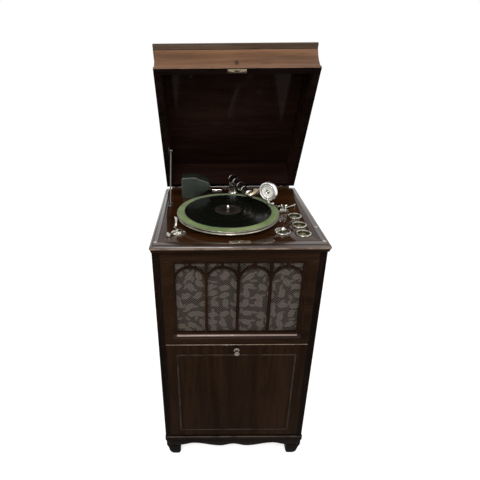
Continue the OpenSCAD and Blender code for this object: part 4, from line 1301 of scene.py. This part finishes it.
@dataclass
class Screw:
    """A slotted screw head with a low dome, modelled once and copied to its places. Sizes in millimetres."""

    finish: Finish
    radius: float = 2.6
    rise: float = 1.0
    slot_width: float = 0.55
    slot_depth: float = 0.5
    seat: float = 0.03
    brim: float = 0.35
    saw_height: float = 2.0

    def pattern(self) -> Piece:
        """Turns one screw head and saws its slot.

        Returns:
            The head, standing on the origin.
        """
        r = self.radius
        angles = [math.radians(a) for a in (0, 22, 45, 68, 90)]
        dome = [(r * math.cos(a), self.brim + (self.rise - self.brim) * math.sin(a)) for a in angles]
        head = turned("screw_pattern", [(0.0, self.seat), (r, self.seat)] + dome, Vector(), UP, 28)
        clear_selection()
        cut_z = (self.rise - self.slot_depth + self.saw_height / 2.0) * MM
        bpy.ops.mesh.primitive_cube_add(size=1.0, location=(0.0, 0.0, cut_z),
                                        scale=(3.0 * r * MM, self.slot_width * MM, self.saw_height * MM))
        saw = added("saw")
        put_modifier(head, "BOOLEAN", operation="DIFFERENCE", object=saw, solver="EXACT")
        bpy.data.objects.remove(saw, do_unlink=True)
        return smooth(head, 30.0)

    def put(self, name: str, places: Sequence[Vector], axis: Vector, body: str) -> None:
        """Copies the screw to its places.

        Args:
            name: the name of the joined screws.
            places: where each head sits.
            axis: the way that the heads look.
            body: the body that they ride on.
        """
        pattern = self.pattern()
        stand = axis.to_track_quat("Z", "Y").to_matrix().to_4x4()
        turns = (Matrix.Rotation(0.6 + 1.3 * i, 4, "Z") for i in range(len(places)))
        screws = repeated(pattern, name, [Matrix.Translation(place) @ stand @ turn
                                          for place, turn in zip(places, turns)])
        bpy.data.objects.remove(pattern, do_unlink=True)
        dress(screws, self.finish)
        settle(screws, body)


@dataclass
class DeckFittings:
    """The small nickelled fittings on the motor board."""

    finishes: Finishes
    body: str = "cabinet"
    dial_radius: float = 0.0182
    needles: int = 16
    middle_needles: int = 9
    needle_layer: int = 5
    first_layer: float = 0.8
    layer_rise: float = 1.35
    needle_radius: float = 0.7
    needle_length: float = 11.0
    needle_point: float = 5.0
    bowl_radius: float = 7.0
    bowl_floor: float = 11.8
    bowl_rise: float = 0.0008
    cup_inset: float = 0.0215
    middle_cup: float = 0.046
    box_voxel: float = 1.5
    box_softness: float = 0.6
    box_passes: int = 10
    tin_width: float = 0.037
    tin_rise: float = 0.006
    countersink: float = 0.0007
    brake_screw_reach: float = 0.014
    brake_screw_way: float = 72.0
    stop_screws: tuple[tuple[float, float], ...] = ((-0.008, -0.017), (0.014, 0.010))
    stop_foot: float = 0.002
    dial_screws: tuple[tuple[float, float], ...] = ((0.011, -0.011), (-0.011, 0.011))
    dial_plate: float = 0.0018
    stay_screw_inset: float = 0.0035
    striker_screw_inset: float = 0.004
    ring_screw_reach: float = 0.0145
    ring_screw_seat: float = 0.0005

    def plates(self) -> None:
        """Dresses the plates and levers."""
        f = self.finishes
        for node in ("brake_plate", "auto_stop", "winding_escutcheon", "arm_base"):
            softened(node, self.body, f.nickel, 0.3)
        softened("stay_plate", self.body, f.dull_steel, 0.3)
        dial = softened("regulator_plate", self.body, f.nickel, 0.2)
        middle = joint_at("speed_swing")
        paint(dial, f.bowl, lambda face: face.normal.z > 0.9
              and (face.center - middle).xy.length < self.dial_radius)
        for node, body in (("stop_lever", "stop"), ("speed_pointer", "speed"), ("brake_lever", "brake")):
            softened(node, body, f.nickel, 0.3)
        softened("lock_striker", self.body, f.worn_nickel, 0.2, f.nickel)
        softened("deck_buffers", self.body, f.rubber, 0.3)
        softened("deck_hinge_leaves", self.body, f.brass, 0.25)
        dress(frame["nodes"]["hinge_pins"], f.steel)

    def cups(self) -> None:
        """Dresses the needle cups, bright on the rim and dull in the bowl."""
        cups = softened("needle_cups", self.body, self.finishes.cup_nickel, 0.2)
        rise = top_of("motor_board") + self.bowl_rise
        paint(cups, self.finishes.bowl, lambda face: face.center.z < rise and face.normal.z > -0.3)

    def needle(self) -> Piece:
        """Makes one steel needle with a shank and a tapered point.

        Returns:
            The needle, lying along X.
        """
        clear_selection()
        bpy.ops.mesh.primitive_cylinder_add(
            vertices=10, radius=self.needle_radius * MM, depth=self.needle_length * MM,
            rotation=(0.0, math.radians(90.0), 0.0))
        needle = added("needle_pattern")
        with editing(needle, "DESELECT"):
            mesh = bmesh.from_edit_mesh(needle.data)
            for face in mesh.faces:
                face.select_set(face.normal.x > 0.9)
            bmesh.update_edit_mesh(needle.data)
            point = (self.needle_point * MM, 0.0, 0.0)
            bpy.ops.mesh.extrude_region_move(TRANSFORM_OT_translate={"value": point})
            bpy.ops.mesh.merge(type="CENTER")
        put_modifier(needle, "BEVEL", width=0.15 * MM, segments=2, limit_method="ANGLE",
                     angle_limit=math.radians(50.0))
        return smooth(needle, 40.0)

    def loose_needles(self) -> None:
        """Strews needles over the floors of the cups."""
        middle, front = middle_of("needle_cups").x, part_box("needle_cups")[0].y + self.cup_inset
        floor = top_of("motor_board") - self.bowl_floor * MM
        cups = (("needles_front", front, self.needles),
                ("needles_middle", joint_at("brake_swing").y + self.middle_cup, self.middle_needles))
        chance = random.Random(7)
        pattern = self.needle()
        for name, y, count in cups:
            places = []
            for i in range(count):
                reach = self.bowl_radius * MM * math.sqrt(chance.random()) * 0.5
                way = math.tau * chance.random()
                height = floor + (self.first_layer + self.layer_rise * (i // self.needle_layer)) * MM
                spot = Vector((middle + reach * math.cos(way), y + reach * math.sin(way), height))
                places.append(Matrix.Translation(spot) @ Matrix.Rotation(math.tau * chance.random(), 4, "Z"))
            needles = repeated(pattern, name, places)
            dress(needles, self.finishes.steel)
            settle(needles, self.body)
        bpy.data.objects.remove(pattern, do_unlink=True)

    def boxes(self) -> None:
        """Rounds the enamelled boxes as pressed metal."""
        piece = copied("accessory_boxes", "accessory_boxes_finished")
        put_modifier(piece, "REMESH", mode="VOXEL", voxel_size=self.box_voxel * MM)
        put_modifier(piece, "SMOOTH", factor=self.box_softness, iterations=self.box_passes)
        smooth(piece, 60.0)
        dress(piece, self.finishes.enamel)
        lo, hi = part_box("accessory_boxes")
        x, z = hi.x - self.tin_width, lo.z + self.tin_rise
        paint(piece, self.finishes.nickel, lambda face: face.center.x > x and face.center.z > z)
        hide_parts("accessory_boxes")
        settle(piece, self.body)

    def screws(self) -> None:
        """Puts the screws into the plates."""
        f = self.finishes
        plain = Screw(f.nickel)
        small = Screw(f.steel, 1.8, 0.8, 0.45, 0.4)
        brake, stop, speed = (joint_at(name).xy for name in ("brake_swing", "stop_swing", "speed_swing"))
        way = math.radians(self.brake_screw_way)
        along = self.brake_screw_reach * Vector((math.sin(way), math.cos(way)))
        deck = top_of("motor_board")
        self.put_flat(plain, "brake_plate_screws", [brake - along, brake + along],
                      top_of("brake_plate"))
        self.put_flat(plain, "auto_stop_screws",
                      [stop + Vector(at) for at in self.stop_screws], deck + self.stop_foot)
        self.put_flat(small, "regulator_screws",
                      [speed + Vector(at) for at in self.dial_screws], deck + self.dial_plate)
        lo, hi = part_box("stay_plate")
        x, inset = middle_of("stay_plate").x, self.stay_screw_inset
        self.put_flat(small, "stay_plate_screws",
                      [Vector((x, lo.y + inset)), Vector((x, hi.y - inset))], hi.z)
        lo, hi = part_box("lock_striker")
        y, inset = middle_of("lock_striker").y, self.striker_screw_inset
        self.put_flat(small, "lock_striker_screws",
                      [Vector((lo.x + inset, y)), Vector((hi.x - inset, y))], hi.z - self.countersink)
        ring = middle_of("winding_escutcheon")
        ring.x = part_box("winding_escutcheon")[1].x - self.ring_screw_seat
        turns = [math.radians(90.0 + 120.0 * i) for i in range(3)]
        places = [ring + self.ring_screw_reach * Vector((0.0, math.cos(a), math.sin(a))) for a in turns]
        small.put("escutcheon_screws", places, ACROSS, self.body)

    def put_flat(self, screw: Screw, name: str, places: Sequence[Vector], height: float) -> None:
        """Puts upright screws into a flat plate.

        Args:
            screw: the pattern.
            name: the name of the joined screws.
            places: where each head sits, seen from above.
            height: the height that they sit at.
        """
        screw.put(name, [at.to_3d() + height * UP for at in places], UP, self.body)

    def build(self) -> None:
        """Builds and dresses the fittings."""
        self.plates()
        self.cups()
        self.loose_needles()
        self.boxes()
        self.screws()


@dataclass
class Turntable:
    """The turntable with its felt, the record and the spindle."""

    finishes: Finishes
    body: str = "turntable"

    def build(self) -> None:
        """Dresses the turntable."""
        f = self.finishes
        soften_all(self.body, (("turntable", f.rim_nickel, 0.25), ("turntable_felt", f.felt, 0.4),
                               ("record", f.shellac, 0.3), ("record_label", f.paper, 0.06),
                               ("spindle", f.nickel, 0.25)))


@dataclass
class ToneArm:
    """The ringed arm, its casting and the sound box. Sizes in millimetres."""

    finishes: Finishes
    box_radius: float = 28.0
    box_place: Point = (0.0954855, -0.0790876, 0.901)
    box_face: Point = (-0.616, -0.788, 0.0)
    mica_radius: float = 22.2
    clamp_screws: int = 3
    clamp_screw_inset: float = 2.4
    clamp_screw_height: float = 6.3

    def arm(self) -> None:
        """Dresses the arm, its casting and the neck."""
        f = self.finishes
        soften_all("tone_arm", (("ringed_arm", f.nickel, 0.3), ("arm_casting", f.worn_nickel, 0.6)))
        soften_all("sound_box", (("soundbox_neck", f.worn_nickel, 0.6), ("stylus_bar", f.nickel, 0.3)))
        softened("needle_screw", "needle_screw", f.nickel, 0.4)

    def lathe(self, name: str, profile: Profile, finish: Finish) -> Piece:
        """Turns one ring of the sound box on its own axis and dresses it.

        Args:
            name: the ring's name.
            profile: radius and height of each point, in millimetres.
            finish: its material.

        Returns:
            The ring.
        """
        piece = turned(name, profile, Vector(self.box_place), Vector(self.box_face), 72)
        dress(piece, finish)
        return settle(piece, "sound_box")

    def sound_box(self) -> None:
        """Turns the sound box: shell and beaded rim, gasket, mica, clamp ring and middle stud."""
        f = self.finishes
        r = self.box_radius
        m = self.mica_radius
        shell = self.lathe(
            "soundbox_shell", [(0.0, -7.5), (10.5, -7.5)] + arc(10.5, -5.5, 2.0, -90, 0, 4)
            + [(13.5, -5.0), (r - 4.0, -4.3)] + arc(r - 2.2, -2.1, 2.2, -80, 0, 5)
            + arc(r - 1.6, 4.6, 1.6, 0, 90, 5) + [(r - 2.0, 6.5)] + arc(r - 3.4, 6.0, 0.7, 45, 180, 5)
            + [(m + 0.1, 4.0), (m + 0.1, 2.6), (0.0, 2.6)], f.bright_nickel)
        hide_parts("soundbox")
        self.lathe(
            "soundbox_gasket", [(m - 2.0, 2.9), (m, 2.9)] + arc(m - 1.0, 3.9, 1.0, 0, 180, 6)
            + [(m - 2.0, 2.9)], f.gasket)
        self.lathe(
            "soundbox_clamp_ring", [(m - 4.6, 3.3), (m - 2.3, 3.3)] + arc(m - 2.9, 5.0, 0.6, 0, 90, 3)
            + arc(m - 4.0, 5.0, 0.6, 90, 180, 3) + [(m - 4.6, 3.3)], f.bright_nickel)
        self.lathe(
            "soundbox_mica", [(0.0, 2.7), (m - 2.1, 2.7), (m - 2.1, 3.2), (10.0, 3.5), (9.6, 3.3),
                              (6.0, 3.3), (0.0, 3.3)], f.mica)
        self.lathe(
            "soundbox_stud", [(0.0, 3.4), (6.6, 3.4)] + arc(5.9, 3.9, 0.7, 0, 90, 3)
            + [(3.6, 4.5), (3.4, 4.1), (0.0, 4.1)], f.nickel)
        face = Vector(self.box_face).normalized()
        across = Vector((face.y, -face.x, 0.0))
        middle = Vector(self.box_place) + self.clamp_screw_height * MM * face
        reach = (r - self.clamp_screw_inset) * MM
        places = [middle + reach * (math.cos(a) * across + math.sin(a) * UP)
                  for a in (math.radians(90.0 + 120.0 * i) for i in range(self.clamp_screws))]
        Screw(f.nickel, 1.5, 0.7, 0.4, 0.35).put("soundbox_screws", places, face, "sound_box")

    def build(self) -> None:
        """Builds and dresses the arm."""
        self.arm()
        self.sound_box()


@dataclass
class Motor:
    """The spring motor under the board."""

    finishes: Finishes

    def build(self) -> None:
        """Dresses the motor."""
        f = self.finishes
        for node in ("motor_frame", "winding_arbor", "winding_shaft"):
            dress(frame["nodes"][node], f.steel)
        for node in ("spring_barrel", "train_wheel", "governor"):
            dress(frame["nodes"][node], f.brass)


@dataclass(frozen=True)
class Lamp:
    """One soft round lamp."""

    name: str
    place: Point
    target: Point
    size: float
    power: float

    def hang(self) -> None:
        """Hangs the lamp so that it looks at its target."""
        data = bpy.data.lights.new(self.name, "AREA")
        data.shape = "DISK"
        data.size = self.size
        data.energy = self.power
        lamp = bpy.data.objects.new(self.name, data)
        bpy.context.scene.collection.objects.link(lamp)
        turn = (Vector(self.target) - Vector(self.place)).to_track_quat("-Z", "Y").to_matrix().to_4x4()
        lamp.matrix_world = Matrix.Translation(self.place) @ turn


@dataclass
class Studio:
    """Floor, lamps, world and the camera at the photograph's place."""

    floor_size: float = 40.0
    floor_drop: float = 0.0005
    floor_grey: float = 0.72
    floor_glow: float = 0.62
    world_light: float = 0.55
    lamps: tuple[Lamp, ...] = (Lamp("key", (-0.6, -1.9, 2.6), (0.0, 0.0, 0.8), 1.4, 44.0),
                               Lamp("fill", (1.8, -1.6, 1.9), (0.0, 0.0, 0.7), 1.8, 18.0),
                               Lamp("near", (-0.026, -1.20, 1.36), (0.0, 0.0, 0.75), 0.14, 3.0))
    eye: Point = (-0.08196, -1.16401, 1.27765)
    lens: float = 29.21
    pitch: float = 26.089
    yaw: float = -0.282
    roll: float = -0.528
    shift: tuple[float, float] = (0.0700, -0.0016)

    def camera(self) -> None:
        """Places the camera."""
        p, y, r = (math.radians(v) for v in (self.pitch, self.yaw, self.roll))
        ahead = Vector((math.sin(y) * math.cos(p), math.cos(y) * math.cos(p), -math.sin(p)))
        right = Vector((math.cos(y), -math.sin(y), 0.0))
        up = right.cross(ahead)
        right, up = math.cos(r) * right + math.sin(r) * up, -math.sin(r) * right + math.cos(r) * up
        data = bpy.data.cameras.new("camera")
        eye = bpy.data.objects.new("camera", data)
        bpy.context.scene.collection.objects.link(eye)
        turn = Matrix((right, up, -ahead)).transposed().to_4x4()
        eye.matrix_world = Matrix.Translation(self.eye) @ turn
        data.lens = self.lens
        data.sensor_width = 36.0
        data.shift_x, data.shift_y = self.shift
        data.clip_start, data.clip_end = 0.02, 200.0
        bpy.context.scene.camera = eye

    def looking_rays(self, tree: bpy.types.NodeTree) -> Socket:
        """Tells the rays that show the studio from those that light it.

        Args:
            tree: the tree of the floor or the world.

        Returns:
            A socket that is 1 for the eye's own ray, for a reflection and for a look through glass.
        """
        path = tree.nodes.new("ShaderNodeLightPath")
        seen = path.outputs["Is Camera Ray"]
        for ray in ("Is Glossy Ray", "Is Transmission Ray"):
            most = tree.nodes.new("ShaderNodeMath")
            most.operation = "MAXIMUM"
            tree.links.new(seen, most.inputs[0])
            tree.links.new(path.outputs[ray], most.inputs[1])
            seen = most.outputs[0]
        return seen

    def show(self, tree: bpy.types.NodeTree, plain: Socket, seen: Socket, out: bpy.types.Node) -> None:
        """Puts one shader out for the rays that show the studio and another for the rest.

        Args:
            tree: the tree of the floor or the world.
            plain: the shader that lights the object.
            seen: the shader that shows.
            out: the output node.
        """
        mix = tree.nodes.new("ShaderNodeMixShader")
        for source, target in ((self.looking_rays(tree), 0), (plain, 1), (seen, 2)):
            tree.links.new(source, mix.inputs[target])
        tree.links.new(mix.outputs[0], out.inputs["Surface"])

    def floor(self) -> None:
        """Lays the pale floor."""
        clear_selection()
        bpy.ops.mesh.primitive_plane_add(size=self.floor_size, location=(0.0, 0.0, -self.floor_drop))
        floor = added("floor")
        s = NodeSheet("floor_white")
        s.set(Base_Color=(self.floor_grey, self.floor_grey, self.floor_grey, 1.0), Specular_IOR_Level=0.0)
        s.rough(s.noise(s.mapping(), 2.0, 2.0), 0.85, 0.95)
        glow = s.node("Emission", Strength=self.floor_glow)
        both = s.node("AddShader")
        s.link(s.shader.outputs["BSDF"], both.inputs[0])
        s.link(glow.outputs["Emission"], both.inputs[1])
        self.show(s.tree, s.shader.outputs["BSDF"], both.outputs["Shader"], s.out)
        dress(floor, s.material)

    def world(self) -> None:
        """Makes the world white to the eye and in reflections, and plain in the light that it gives."""
        world = bpy.data.worlds.new("studio")
        bpy.context.scene.world = world
        world.use_nodes = True
        tree = world.node_tree
        tree.nodes.clear()
        out = tree.nodes.new("ShaderNodeOutputWorld")
        plain, seen = (tree.nodes.new("ShaderNodeBackground") for _ in range(2))
        for ground, strength in ((plain, self.world_light), (seen, 1.0)):
            ground.inputs["Color"].default_value = (1.0, 1.0, 1.0, 1.0)
            ground.inputs["Strength"].default_value = strength
        self.show(tree, plain.outputs[0], seen.outputs[0], out)

    def build(self) -> None:
        """Builds the studio."""
        self.camera()
        self.floor()
        self.world()
        for lamp in self.lamps:
            lamp.hang()
        bpy.context.scene.view_settings.view_transform = "Standard"


def main() -> None:
    """Builds the object from its frame and reports each piece."""
    logging.basicConfig(level=logging.INFO, format="%(name)s: %(message)s")
    finishes = Finishes()
    for part in (Studio(), Carcass(finishes), Lid(finishes), Door(finishes), DeckFittings(finishes),
                 Turntable(finishes), ToneArm(finishes), Motor(finishes)):
        part.build()
        LOG.info("built %s", type(part).__name__)
    clear_selection()


if __name__ == "__main__":
    main()
